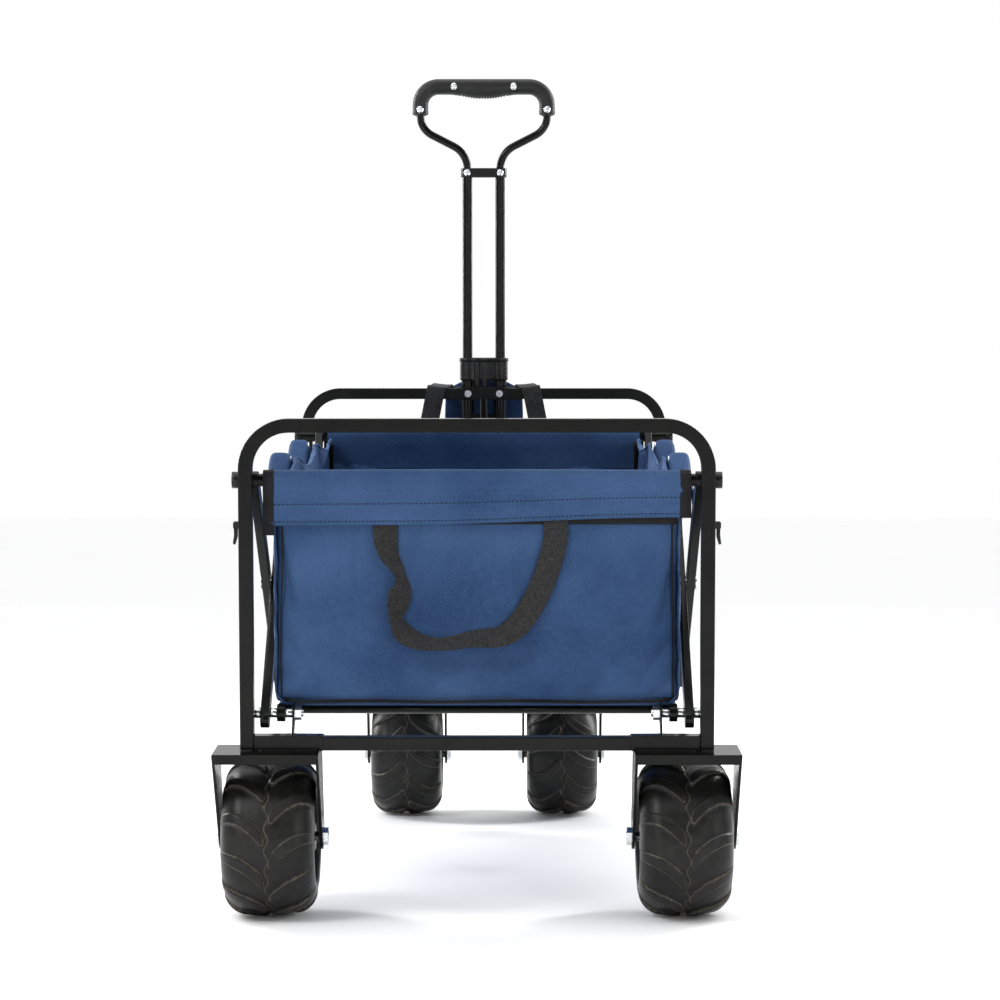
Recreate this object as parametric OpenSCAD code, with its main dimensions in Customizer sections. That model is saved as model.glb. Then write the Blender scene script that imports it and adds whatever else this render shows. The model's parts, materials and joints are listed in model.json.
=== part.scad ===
// Folding beach cart: two bent end frames joined by a folding lattice, a fabric
// bag on four wide tyres, two casters at the front and a telescoping pull handle.
//
// Frame of the part: X across, +Y towards the pull handle, +Z up, origin on the
// ground in the middle of the bounding box. The body stands nose up by `pitch`,
// so most pieces are drawn in a body frame (see in_body), whose y runs along the
// floor and whose z runs up the end frames, from the rear frame's pivot height.

/* [Body] */
// Nose-up pitch of the body, in degrees
pitch = 4.6; // [4.3:0.1:4.9]
// Height of the rear end of the floor pivots above the ground
pivot_z = 210; // [208:1:214]
// Distance between the rear and front end frames
wheelbase = 815; // [811:1:819]
// Outer width of the end frames
frame_w = 478; // [476:1:480]
// Height of the end frames' top bar above the floor pivots
top_bar_z = 293; // [290:1:296]
// Side of the square frame tube
tube_w = 14; // [13:0.5:14.5]
// Wall of the square frame tube
tube_wall = 1.2; // [1:0.1:2]
// Bend radius of the frame tube, to its middle
bend_r = 44; // [38:1:50]

/* [Lattice] */
// Distance of the lattice's end pivots from the frames they hang on
pivot_inset = 17; // [17:0.5:18]
// Height of the upper pivots above the lower pivots
lattice_h = 237; // [232:1:240]
// Width of the flat-oval arms, as seen from the side
arm_w = 18; // [16:0.5:18]
// Thickness of the flat-oval arms
arm_t = 9; // [8:0.5:9]
// Diameter of the two rods that carry the bag's ends
top_rod_d = 13; // [12:0.5:13]

/* [Wheels] */
// Outer radius of a tyre
tyre_r = 81; // [79:0.5:81.5]
// Width of a tyre
tyre_w = 95; // [90:1:97]
// Distance of a rear wheel's middle from the cart's middle
rear_wheel_x = 212; // [211.5:0.5:212.5]
// Distance of a caster's middle from the cart's middle
caster_x = 105; // [104:1:106]
// Distance of a caster's axle in front of its kingpin
caster_trail = 20; // [16:1:22]
// Diameter of the axle bolts
axle_d = 10; // [9:0.5:11]

/* [Bag] */
// Half of the bag's width, to the outside of its side panels
bag_x = 207.5; // [204:0.5:208]
// Thickness of the bag's padded panels
panel_t = 3.5; // [3:0.5:4]
// Depth of the hem that wraps an end rod
hem_h = 58; // [50:1:62]

/* [Handle] */
// Distance of the handle's line from the rear frame, along the body
handle_y = 838; // [836:1:840]
// Distance between the handle's two tubes
tube_gap = 43; // [42:0.5:44]
// Outer diameter of the lower tubes
lower_d = 16; // [15.6:0.2:16.4]
// Outer diameter of the sliding upper tubes
upper_d = 12.7; // [12:0.1:13]
// Height of the handle's clamp above its hinge
clamp_z = 595; // [590:1:602]
/* [Hidden] */
$fn = 48;

steel = [0.11, 0.115, 0.11];
zinc = [0.72, 0.73, 0.74];
plastic = [0.09, 0.09, 0.095];
rubber = [0.13, 0.13, 0.135];
cloth = [0.21, 0.33, 0.52];
webbing = [0.07, 0.07, 0.075];

left = -1;
right = 1;
fit = 0.05;    // radial clearance of a running fit
gap = 0.3;     // clearance between pieces that pass each other

// Body frame: where its origin lies, and how a body point maps to the ground frame
rear_y = -485;
post_x = (frame_w - tube_w) / 2;
bottom_bar_z = -28;
rear_pivot_y = pivot_inset;
front_pivot_y = wheelbase - pivot_inset;
span = (front_pivot_y - rear_pivot_y) / 3;
arm_len = sqrt(span * span + lattice_h * lattice_h);
arm_angle = atan(lattice_h / span);

// Layers across the lattice, as distances from the cart's middle
a_layer = 215;
b_layer = 224.8;
link_x = 199;
link_t = 8;
ear_x = 185;
ear_t = 2;
bolt_d = 8;
rod_cap_x = 239;

// Wheels, in ground coordinates with y from the rear frame
fork_x = 212;
fork_w = 107;
crown_t = 4;
fork_t = 3;
rear_axle_y = 55;
front_axle_y = 920;
kingpin_y = front_axle_y - caster_trail;
caster_crown_z = 172;
carrier_z = 240;
caster_fork_in = 51;
hub_r = 46;

// Handle, measured along the handle from its hinge
hinge_z = -14;
block_z = 324;
block_h = 29;
tube_x = tube_gap / 2;
slide_in = 45;
loop_d = 10;

// Draws in the body frame: y along the floor, z up the end frames
module in_body() {
    translate([0, rear_y, pivot_z]) rotate([pitch, 0, 0]) children();
}

// Draws along the handle, with the hinge at the origin
module in_handle() {
    in_body() translate([0, handle_y, hinge_z]) children();
}

// Draws in ground axes, with y measured from the rear frame
module on_ground() {
    translate([0, rear_y, 0]) children();
}

module both_sides() {
    children();
    mirror([1, 0, 0]) children();
}

// A cylinder along x from x0 to x1
module x_cylinder(x0, x1, r) {
    translate([x0, 0, 0]) rotate([0, 90, 0]) cylinder(h = x1 - x0, r = r);
}

module x_hex(x0, x1, across) {
    translate([x0, 0, 0]) rotate([0, 90, 0])
        cylinder(h = x1 - x0, r = across / sqrt(3), $fn = 6);
}

// An outline drawn in y and z, extruded along x from x0 to x1
module x_plate(x0, x1) {
    translate([x0, 0, 0]) rotate([90, 0, 90]) linear_extrude(x1 - x0) children();
}

module square_tube_section() {
    difference() {
        square(tube_w, center = true);
        square(tube_w - 2 * tube_wall, center = true);
    }
}

// ---- End frames ----

// Inverted U of square tube, its posts standing from z = foot
module end_frame(foot) {
    bend_x = post_x - bend_r;
    bend_z = top_bar_z - bend_r;
    both_sides() {
        translate([post_x, 0, foot]) linear_extrude(bend_z - foot)
            square_tube_section();
        translate([bend_x, 0, bend_z]) rotate([90, 0, 0])
            rotate_extrude(angle = 90, $fn = 96)
                translate([bend_r, 0]) square_tube_section();
    }
    translate([-bend_x, 0, top_bar_z]) rotate([90, 0, 90])
        linear_extrude(2 * bend_x) square_tube_section();
}

// Lower cross bar with the sleeves and the pivot ears that are welded to it
module bottom_bar(ear_side) {
    inner = post_x - tube_w / 2;
    translate([-inner, 0, bottom_bar_z]) rotate([90, 0, 90])
        linear_extrude(2 * inner) square_tube_section();
    both_sides() translate([155, 0, bottom_bar_z]) rotate([90, 0, 90])
        linear_extrude(inner - 155) difference() {
            translate([-tube_w / 2 - 1.5, -tube_w / 2]) square([tube_w + 3, tube_w + 1.5]);
            translate([-tube_w / 2, -tube_w / 2 - 1]) square([tube_w, tube_w + 1]);
        }
    both_sides() x_plate(ear_x, ear_x + ear_t) difference() {
        union() {
            polygon([[-7 * ear_side, bottom_bar_z + 8.5], [7 * ear_side, bottom_bar_z + 8.5],
                     [26 * ear_side, -6], [8 * ear_side, 6]]);
            translate([pivot_inset * ear_side, 0]) circle(r = 11);
        }
        translate([pivot_inset * ear_side, 0]) circle(d = bolt_d);
    }
}

// Plate welded to a post that carries the pivot bolt's outer end
module outer_ear(x0, side) {
    both_sides() x_plate(x0, x0 + 2.6) difference() {
        union() {
            translate([side > 0 ? 7 : -pivot_inset, -11]) square([pivot_inset - 7, 22]);
            translate([pivot_inset * side, 0]) circle(r = 11);
        }
        translate([pivot_inset * side, 0]) circle(d = bolt_d);
    }
}

module rear_frame() {
    color(steel) in_body() {
        end_frame(bottom_bar_z - tube_w / 2);
        outer_ear(228, 1);
    }
}

module rear_bottom_bar() {
    color(steel) in_body() bottom_bar(1);
}

module front_frame() {
    color(steel) in_body() translate([0, wheelbase, 0]) {
        end_frame(bottom_bar_z - tube_w / 2);
        outer_ear(230, -1);
        // centre stay and the plate that carries the handle's catch
        translate([0, 0, bottom_bar_z + tube_w / 2])
            cylinder(h = top_bar_z - bottom_bar_z - tube_w, d = 10);
        translate([-49, tube_w / 2, top_bar_z - 8.5]) cube([98, 3, 15.2]);
    }
}

module front_bottom_bar() {
    color(steel) in_body() translate([0, wheelbase, 0]) bottom_bar(-1);
}

// Bolt, nut and spacers of one pivot stack, listed as [x0, x1, r] tubes
module pivot_stack(x1, spacers) {
    both_sides() {
        x_cylinder(176.5, x1, bolt_d / 2);
        difference() {
            x_hex(178.5, ear_x, 13);
            x_cylinder(178, ear_x + 1, bolt_d / 2);
        }
        x_hex(x1, x1 + 5, 13);
        for (s = spacers) difference() {
            x_cylinder(s[0], s[1], s[2]);
            x_cylinder(s[0] - 1, s[1] + 1, bolt_d / 2);
        }
    }
}

module rear_pivot_bolts() {
    color(zinc) in_body() translate([0, rear_pivot_y, 0])
        pivot_stack(230.6, [[ear_x + ear_t, link_x - link_t / 2 - gap, 5],
                            [link_x + link_t / 2 + gap, a_layer - arm_t / 2 - gap, 5],
                            [a_layer + arm_t / 2 + gap, 228, 5.5]]);
}

module front_pivot_bolts() {
    color(zinc) in_body() translate([0, front_pivot_y, 0])
        pivot_stack(232.6, [[ear_x + ear_t, link_x - link_t / 2 - gap, 5],
                            [link_x + link_t / 2 + gap, b_layer - arm_t / 2 - gap, 5]]);
}

// ---- Folding lattice ----

// One flat-oval arm from (y0, z0) towards (y1, z1), with round ends and a bore at
// each end and in the middle; ext is how far each end runs past its pivot.
module arm(x_mid, y0, z0, y1, z1, bores, ext) {
    angle = atan2(z1 - z0, y1 - y0);
    translate([0, y0, z0]) x_plate(x_mid - arm_t / 2, x_mid + arm_t / 2) rotate(angle)
        difference() {
            union() {
                translate([-ext[0], -arm_w / 2]) square([arm_len + ext[0] + ext[1], arm_w]);
                translate([-ext[0], 0]) circle(d = arm_w);
                translate([arm_len + ext[1], 0]) circle(d = arm_w);
            }
            for (i = [0:2]) translate([i * arm_len / 2, 0]) circle(d = bores[i]);
        }
}

pin_bore = bolt_d + 2 * fit;
rod_bore = top_rod_d;
plug = 8;    // how far an end plug runs past its pivot

// An arm that rises towards the front, in bay 0, 1 or 2
module rising_arms(bay, bores, ext) {
    color(steel) in_body() both_sides()
        arm(a_layer, rear_pivot_y + bay * span, 0,
            rear_pivot_y + (bay + 1) * span, lattice_h, bores, ext);
}

// An arm that falls towards the front, in bay 0, 1 or 2
module falling_arms(bay, bores, ext) {
    color(steel) in_body() both_sides()
        arm(b_layer, rear_pivot_y + bay * span, lattice_h,
            rear_pivot_y + (bay + 1) * span, 0, bores, ext);
}

module arms_a1() { rising_arms(0, [pin_bore, bolt_d, bolt_d], [plug, 0]); }
module arms_a2() { rising_arms(1, [bolt_d, bolt_d, bolt_d], [0, 0]); }
module arms_a3() { rising_arms(2, [bolt_d, bolt_d, rod_bore], [0, 0]); }
module arms_b1() { falling_arms(0, [rod_bore, pin_bore, pin_bore], [0, plug]); }
module arms_b2() { falling_arms(1, [pin_bore, pin_bore, pin_bore], [0, plug]); }
module arms_b3() { falling_arms(2, [pin_bore, pin_bore, pin_bore], [0, 0]); }

// Rivets through both layers, at a list of [y, z] places
module rivets(places) {
    head_in = a_layer - arm_t / 2;
    head_out = b_layer + arm_t / 2 + gap;
    color(zinc) in_body() both_sides() for (p = places) translate([0, p[0], p[1]]) {
        x_cylinder(head_in - 1.8, head_out + 1.8, bolt_d / 2);
        x_cylinder(head_in - 1.8, head_in, bolt_d);
        x_cylinder(head_out, head_out + 1.8, bolt_d);
    }
}

function lower_pivot(i) = [rear_pivot_y + i * span, 0];
function upper_pivot(i) = [rear_pivot_y + i * span, lattice_h];
function bay_middle(i) = [rear_pivot_y + (i + 0.5) * span, lattice_h / 2];

module rivets_a1() { rivets([bay_middle(0), upper_pivot(1)]); }
module rivets_a2() { rivets([lower_pivot(1), bay_middle(1), upper_pivot(2)]); }
module rivets_a3() { rivets([lower_pivot(2), bay_middle(2)]); }

module top_rod(y) {
    color(steel) in_body() translate([0, y, lattice_h]) difference() {
        x_cylinder(-rod_cap_x, rod_cap_x, top_rod_d / 2);
        x_cylinder(-rod_cap_x - 1, rod_cap_x + 1, top_rod_d / 2 - 1.2);
    }
}

// Caps with a stem in the rod and a round head outside it
module rod_caps(y) {
    color(plastic) in_body() both_sides() translate([0, y, lattice_h]) {
        x_cylinder(rod_cap_x - 12, rod_cap_x, top_rod_d / 2 - 1.2);
        x_cylinder(rod_cap_x, rod_cap_x + 8, 8.5);
    }
}

module rear_top_rod() { top_rod(rear_pivot_y); }
module front_top_rod() { top_rod(front_pivot_y); }
module rear_rod_caps() { rod_caps(rear_pivot_y); }
module front_rod_caps() { rod_caps(front_pivot_y); }

// ---- Floor ----

floor_len = 300;
floor_rod = 10;

// Ladder of round rod that swings about the pivot bolts and lies along y
module floor_frame() {
    side_x = link_x;
    both_sides() {
        difference() {
            union() {
                x_cylinder(link_x - link_t / 2, link_x + link_t / 2, 9);
                translate([side_x, 5.5, 0]) rotate([-90, 0, 0])
                    cylinder(h = floor_len - 5.5, d = floor_rod);
                translate([side_x, floor_len, 0]) sphere(d = floor_rod);
            }
            x_cylinder(link_x - link_t, link_x + link_t, bolt_d / 2 + fit);
        }
    }
    for (y = [26, floor_len]) translate([0, y, 0])
        x_cylinder(-side_x, side_x, floor_rod / 2);
}

floor_t = 4;
floor_lift = floor_rod / 2 + gap;
floor_start = 13;

// Padded floor panel over a floor frame
module floor_panel() {
    translate([-bag_x + panel_t + 1, floor_start, floor_lift])
        cube([2 * (bag_x - panel_t - 1), floor_len - floor_start, floor_t]);
}

module rear_floor_frame() {
    color(steel) in_body() translate([0, rear_pivot_y, 0]) floor_frame();
}

module front_floor_frame() {
    color(steel) in_body() translate([0, front_pivot_y, 0]) mirror([0, 1, 0]) floor_frame();
}

module bag_floor_rear() {
    color(cloth) in_body() translate([0, rear_pivot_y, 0]) floor_panel();
}

module bag_floor_front() {
    color(cloth) in_body() translate([0, front_pivot_y, 0]) mirror([0, 1, 0]) floor_panel();
}

// Loose cloth between the two floor panels
module bag_floor_middle() {
    start = rear_pivot_y + floor_len + 0.5;
    color(cloth) in_body() translate([-bag_x + panel_t + 1, start, floor_lift])
        cube([2 * (bag_x - panel_t - 1), front_pivot_y - floor_len - 0.5 - start, floor_t]);
}

// ---- Bag ----

bag_bottom = floor_lift + floor_t + 0.7;
side_rim = lattice_h - 4;
sleeve_r = top_rod_d / 2 + 1.6;
hem_x = 209.5;      // half of the hem's width, just inside the lattice arms

// End panel that hangs from a rod: a sleeve, the panel and the hem's outer layer
module end_panel() {
    half = bag_x - panel_t - 0.5;
    bottom = bag_bottom + 1.3;
    difference() {
        union() {
            x_cylinder(-half, half, sleeve_r);
            translate([-half, -2, bottom - lattice_h])
                cube([2 * half, panel_t, lattice_h - bottom]);
            translate([-hem_x, -sleeve_r, -hem_h + sleeve_r])
                cube([2 * hem_x, 2.5, hem_h - sleeve_r]);
        }
        x_cylinder(-hem_x - 1, hem_x + 1, top_rod_d / 2 + fit);
    }
}

module bag_rear_panel() {
    color(cloth) in_body() translate([0, rear_pivot_y, lattice_h]) end_panel();
}

module bag_front_panel() {
    color(cloth) in_body() translate([0, front_pivot_y, lattice_h])
        mirror([0, 1, 0]) end_panel();
}

// Side panel, with a rim that sags between the lattice's upper pivots
module bag_side(side) {
    y0 = rear_pivot_y - 2;
    y1 = front_pivot_y + 2;
    sag = 12;
    rod_r = top_rod_d / 2 + gap;
    under = lattice_h - rod_r;      // the panel's ends pass below the rods
    rim = [for (i = [1:29]) let (t = i / 10)
           [rear_pivot_y + t * span, side_rim - sag * pow(sin(180 * t), 2)]];
    x = side > 0 ? bag_x - panel_t : -bag_x;
    color(cloth) in_body() x_plate(x, x + panel_t)
        polygon(concat([[y0, bag_bottom], [y0, under], [rear_pivot_y + rod_r, under],
                        [rear_pivot_y + rod_r, side_rim]], rim,
                       [[front_pivot_y - rod_r, side_rim], [front_pivot_y - rod_r, under],
                        [y1, under], [y1, bag_bottom]]));
}

module bag_side_left() { bag_side(left); }
module bag_side_right() { bag_side(right); }

// A ribbon of constant width along x, swept through [x, y, z] points as flat slabs
module ribbon(points, w, t) {
    n = len(points);
    // square to the path in the y-z plane at each point
    function along(i) = points[min(i + 1, n - 1)] - points[max(i - 1, 0)];
    function normal(i) = let (d = along(i), l = norm([d[1], d[2]]))
        l < 0.01 ? [0, 1, 0] : [0, -d[2] / l, d[1] / l];
    corners = [for (i = [0:n - 1]) let (p = points[i], m = normal(i) * t / 2)
               each [p + m + [-w / 2, 0, 0], p + m + [w / 2, 0, 0],
                     p - m + [w / 2, 0, 0], p - m + [-w / 2, 0, 0]]];
    last = 4 * (n - 1);
    polyhedron(corners, concat(
        [[0, 1, 2, 3], [last + 3, last + 2, last + 1, last]],
        [for (i = [0:n - 2], k = [0:3])
         [4 * i + k, 4 * (i + 1) + k, 4 * (i + 1) + (k + 1) % 4, 4 * i + (k + 1) % 4]]));
}

// A flat band in a plane facing the rear, of constant width w, through [x, z] points
module band(points, w, y0, t) {
    n = len(points);
    function along(i) = points[min(i + 1, n - 1)] - points[max(i - 1, 0)];
    function side_of(i) = let (d = along(i)) [-d[1], d[0]] / norm(d) * w / 2;
    outline = concat([for (i = [0:n - 1]) points[i] + side_of(i)],
                     [for (i = [n - 1:-1:0]) points[i] - side_of(i)]);
    translate([0, y0 + t, 0]) rotate([90, 0, 0]) linear_extrude(t) polygon(outline);
}

strap_w = 25;
strap_t = 1.8;
// Middle line of the hanging strap on the rear panel, as [x, z] in the body frame
carry_path = [[-92, 205], [-92, 177], [-87, 160], [-79, 146], [-76, 136], [-77, 124],
              [-80, 110], [-81, 98], [-76, 85], [-62, 75], [-42, 72], [-22, 73],
              [0, 77], [23, 79], [39, 89], [53, 108], [65, 131], [74, 156],
              [79, 177], [79, 205]];

module rear_carry_strap() {
    color(webbing) in_body()
        band(carry_path, 21, rear_pivot_y - 2 - strap_t - 0.1, strap_t);
}

// Two straps from the front hem over the top bar to the pouch in front of the handle
strap_top = top_bar_z + tube_w / 2 + 1.8;
front_path = [[72, -15.5, 250], [70, -11, 262], [66, -9.2, 280], [62, -9.2, strap_top - 1],
              [61, -6.8, strap_top + 0.2], [60, 6, strap_top], [58, 10, strap_top],
              [55, 24, strap_top], [53, 37, strap_top - 1]];

module front_straps() {
    color(webbing) in_body() translate([0, wheelbase, 0]) both_sides()
        ribbon(front_path, 24, strap_t);
}

module front_pouch() {
    color(cloth) in_body() translate([-52, wheelbase + 38, 200]) cube([104, 6, 109]);
}

// ---- Fold locks on the rear posts ----

lock_y = tube_w / 2;        // a lock lies in front of its post
lock_depth = 10;
lever_pin_z = 192;
lever_pin_x = 243;
lever_pin_r = 1.5;

// Pin along y at the lever's pivot
module lever_pin(y0, y1, r) {
    translate([lever_pin_x, y0, lever_pin_z]) rotate([-90, 0, 0]) cylinder(h = y1 - y0, r = r);
}

module lock_housings() {
    color(plastic) in_body() both_sides() {
        translate([post_x - 5, lock_y, 174]) cube([12.7, lock_depth, 23]);
        for (y = [lock_y, lock_y + lock_depth - 2.4]) difference() {
            translate([post_x + 7, y, lever_pin_z - 3.4]) cube([6.6, 2.4, 6.8]);
            lever_pin(y - 1, y + 4, lever_pin_r);
        }
        lever_pin(lock_y, lock_y + lock_depth, lever_pin_r);
    }
}

// Hooked finger lever outside the post
module lock_lever(side) {
    outline = [[-1.9, 0.6], [2.2, 0.6], [2, -10], [3.2, -19], [0.8, -20], [-1.6, -12]];
    thick = lock_depth - 5.4;
    color(plastic) in_body() mirror([side < 0 ? 1 : 0, 0, 0])
        translate([lever_pin_x, lock_y + 2.7 + thick, lever_pin_z]) rotate([90, 0, 0])
            difference() {
                union() {
                    cylinder(h = thick, r = 2.6);
                    linear_extrude(thick) polygon(outline);
                }
                translate([0, 0, -1]) cylinder(h = thick + 2, r = lever_pin_r + fit);
            }
}

module lock_lever_left() { lock_lever(left); }
module lock_lever_right() { lock_lever(right); }

// ---- Wheels ----

// Section of a tyre: [radius, distance from its middle]
module tyre(x, y) {
    half = tyre_w / 2;
    on_ground() translate([x - half, y, tyre_r]) rotate([0, 90, 0])
        rotate_extrude($fn = 96) difference() {
            union() {
                translate([hub_r, 6]) square([tyre_r - 24 - hub_r, tyre_w - 12]);
                translate([tyre_r - 40, 24]) square([40, tyre_w - 48]);
                for (z = [24, tyre_w - 24]) translate([tyre_r - 24, z]) circle(r = 24);
            }
            translate([0, -1]) square([hub_r, tyre_w + 2]);
        }
}

// Hub with a rim under the tyre, a web in the middle and a bored boss
module hub(x, y) {
    on_ground() translate([x, y, tyre_r]) rotate([0, 90, 0])
        rotate_extrude($fn = 96) {
            translate([hub_r - 4, -41]) square([4, 82]);
            translate([axle_d / 2 + fit, -45]) square([9, 90]);
            translate([axle_d / 2 + 8, -4]) square([hub_r - 3 - axle_d / 2 - 8, 8]);
        }
}

module rear_tyre_left() { color(rubber) tyre(-rear_wheel_x, rear_axle_y); }
module rear_tyre_right() { color(rubber) tyre(rear_wheel_x, rear_axle_y); }
module front_tyre_left() { color(rubber) tyre(-caster_x, front_axle_y); }
module front_tyre_right() { color(rubber) tyre(caster_x, front_axle_y); }
module rear_hub_left() { color(plastic) hub(-rear_wheel_x, rear_axle_y); }
module rear_hub_right() { color(plastic) hub(rear_wheel_x, rear_axle_y); }
module front_hub_left() { color(plastic) hub(-caster_x, front_axle_y); }
module front_hub_right() { color(plastic) hub(caster_x, front_axle_y); }

// ---- Rear forks ----

// Where the rear axle lies in the body frame
axle_dz = tyre_r - pivot_z;
axle_b = [rear_axle_y * cos(pitch) + axle_dz * sin(pitch),
          axle_dz * cos(pitch) - rear_axle_y * sin(pitch)];
crown_top = bottom_bar_z - tube_w / 2;

// Channel plate under the frame with two arms that run forward to the axle
module rear_fork(side) {
    half = fork_w / 2;
    crown_z = crown_top - crown_t;
    color(steel) in_body() translate([side * fork_x, 0, 0]) {
        translate([-half, -30, crown_z]) cube([fork_w, 60, crown_t]);
        translate([-half + 2, -30, crown_z - 6]) cube([fork_w - 4, 3, 6.5]);
        for (x = [-half, half - fork_t]) x_plate(x, x + fork_t) difference() {
            union() {
                polygon([[-30, crown_z + 1], [30, crown_z + 1], [axle_b[0] + 13, axle_b[1] + 3],
                         [axle_b[0] - 12.4, axle_b[1] - 5]]);
                translate(axle_b) circle(r = 13);
            }
            translate(axle_b) circle(d = axle_d);
        }
    }
}

module rear_fork_left() { rear_fork(left); }
module rear_fork_right() { rear_fork(right); }

// A bolt along x with a round washer, a hex nut inside and a head outside
module axle_bolt(x0, x1) {
    x_cylinder(x0 - 5.5, x1, axle_d / 2);
    x_hex(x0 - 5, x0, 16);
    x_hex(x1, x1 + 4, 16);
}

module rear_axle_bolts() {
    color(zinc) on_ground() both_sides() translate([0, rear_axle_y, tyre_r])
        axle_bolt(fork_x - fork_w / 2, fork_x + fork_w / 2);
}

// ---- Casters ----

// Folded plate and cross tube on the front bottom bar, with two head tubes
module caster_carrier() {
    y0 = 823;
    y1 = kingpin_y + 26;
    color(steel) on_ground() difference() {
        union() {
            difference() {
                translate([-caster_x - 26, y0, carrier_z])
                    cube([2 * caster_x + 52, y1 - y0, 4]);
                translate([-36, 856, carrier_z - 1]) cube([72, 100, 6]);
            }
            both_sides() {
                translate([caster_x, kingpin_y, 190]) cylinder(h = 51, r = 13);
                translate([40, y0, carrier_z - 22]) cube([3, y1 - y0, 23]);
                translate([caster_x + 23, y0, carrier_z - 22]) cube([3, y1 - y0, 23]);
            }
            // ears that hold the handle's pin
            both_sides() x_plate(31, 34.5) union() {
                translate([y0, carrier_z + 3]) square([27, 18]);
                translate([hinge_ground[0], hinge_ground[1]]) circle(r = 12);
            }
        }
        both_sides() translate([caster_x, kingpin_y, 189]) cylinder(h = 60, r = 6);
        translate([0, hinge_ground[0], hinge_ground[1]]) x_cylinder(-40, 40, 4);
    }
}

// The handle's hinge in ground axes, with y from the rear frame
hinge_ground = [handle_y * cos(pitch) - hinge_z * sin(pitch),
                pivot_z + handle_y * sin(pitch) + hinge_z * cos(pitch)];

// Kingpin bolt, its nut on the carrier and the race between fork and head tube
module caster_kingpins() {
    color(zinc) on_ground() both_sides() translate([caster_x, kingpin_y, 0]) {
        translate([0, 0, caster_crown_z - 6.3]) cylinder(h = 6, r = 11);
        translate([0, 0, caster_crown_z - 0.4]) cylinder(h = 82, r = 6);
        translate([0, 0, carrier_z + 4]) difference() {
            cylinder(h = 9, r = 11, $fn = 6);
            translate([0, 0, -1]) cylinder(h = 12, r = 6);
        }
        translate([0, 0, caster_crown_z + 4 + gap]) difference() {
            cylinder(h = 18 - 4 - gap, r = 21);
            translate([0, 0, -1]) cylinder(h = 30, r = 6);
        }
    }
}

module caster_fork(side) {
    half = caster_fork_in + fork_t;
    color(steel) on_ground() translate([side * caster_x, 0, 0]) {
        difference() {
            translate([-half, kingpin_y - 24, caster_crown_z]) cube([2 * half, 50, 4]);
            translate([0, kingpin_y, caster_crown_z - 1]) cylinder(h = 6, r = 6 + fit);
        }
        for (x = [-half, half - fork_t]) x_plate(x, x + fork_t) difference() {
            union() {
                polygon([[kingpin_y - 20, caster_crown_z + 1], [kingpin_y + 22, caster_crown_z + 1],
                         [front_axle_y + 13, tyre_r + 1], [front_axle_y - 13, tyre_r]]);
                translate([front_axle_y, tyre_r]) circle(r = 13);
            }
            translate([front_axle_y, tyre_r]) circle(d = axle_d);
        }
    }
}

module caster_fork_left() { caster_fork(left); }
module caster_fork_right() { caster_fork(right); }

module front_axle(side) {
    color(zinc) on_ground() mirror([side < 0 ? 1 : 0, 0, 0])
        translate([caster_x, front_axle_y, tyre_r])
            axle_bolt(-caster_fork_in - fork_t, caster_fork_in + fork_t);
}

module front_axle_left() { front_axle(left); }
module front_axle_right() { front_axle(right); }

// ---- Handle ----

module handle_pivot_pin() {
    color(zinc) in_handle() {
        x_cylinder(-37, 37, 4);
        x_hex(37, 41, 12);
        x_hex(-41, -37, 12);
    }
}

// Two lower tubes that turn on the pin, with a plug in each foot
module handle_lower_tubes() {
    color(steel) in_handle() difference() {
        union() {
            both_sides() translate([tube_x, 0, -8]) difference() {
                cylinder(h = block_z + 8, d = lower_d);
                translate([0, 0, 22]) cylinder(h = block_z, r = upper_d / 2 + fit);
            }
            // brace between the tubes
            translate([-tube_x, -4, 265]) cube([tube_gap, 8, 14]);
        }
        x_cylinder(-40, 40, 4 + fit);
        both_sides() translate([tube_x, 0, 14]) cylinder(h = block_z, r = upper_d / 2 + fit);
    }
}

// Moulded block that caps the lower tubes and guides the upper ones
module tube_block() {
    color(plastic) in_handle() difference() {
        union() {
            translate([-tube_x, -12.5, block_z]) cube([tube_gap, 25, block_h]);
            both_sides() translate([tube_x, 0, block_z]) cylinder(h = block_h, r = 12.5);
            translate([-9, -13, block_z - 8]) cube([18, 26, block_h - 2]);
        }
        both_sides() translate([tube_x, 0, block_z - 10])
            cylinder(h = block_h + 20, r = upper_d / 2 + fit);
    }
}

module handle_upper_tubes() {
    color(steel) in_handle() both_sides()
        translate([tube_x, 0, block_z - slide_in]) difference() {
            cylinder(h = clamp_z - block_z + slide_in, d = upper_d);
            translate([0, 0, -1]) cylinder(h = clamp_z, r = upper_d / 2 - 1.1);
        }
}

// Flat clamp that joins the tops of the tubes to the bent rods of the loop
module tube_clamp() {
    color(plastic) in_handle() translate([0, 0, clamp_z - 5]) difference() {
        union() {
            translate([-tube_x, -8.5, 0]) cube([tube_gap, 17, 12]);
            both_sides() translate([tube_x, 0, 0]) cylinder(h = 12, r = 8.5);
        }
        both_sides() {
            translate([tube_x, 0, -1]) cylinder(h = 6, d = upper_d);
            translate([tube_x, 0, 4]) cylinder(h = 9, d = loop_d);
        }
    }
}

// The loop's middle line in the handle's x-z plane. Its right half is a neck, a bend
// outwards, a flare, a bend upwards, a short leg, a shoulder bend and the top.
flare = 27;      // rise of the flare above level, in degrees
bend_in = 33;    // radius of the bend at the neck
bend_out = 28;   // radius of the bend below the leg
shoulder = 24;   // radius of the shoulder bend
leg = 14;
loop_top = 708;
shoulder_at = [59, loop_top - shoulder];
leg_end = shoulder_at + [shoulder, -leg];
bend_out_at = leg_end - [bend_out, 0];
flare_end = bend_out_at + bend_out * [sin(flare), -cos(flare)];
flare_x = tube_x + bend_in * (1 - sin(flare));
bend_z = flare_end[1] - (flare_end[0] - flare_x) * tan(flare) - bend_in * cos(flare);
sides = 16;      // facets around the loop and the grip

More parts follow.
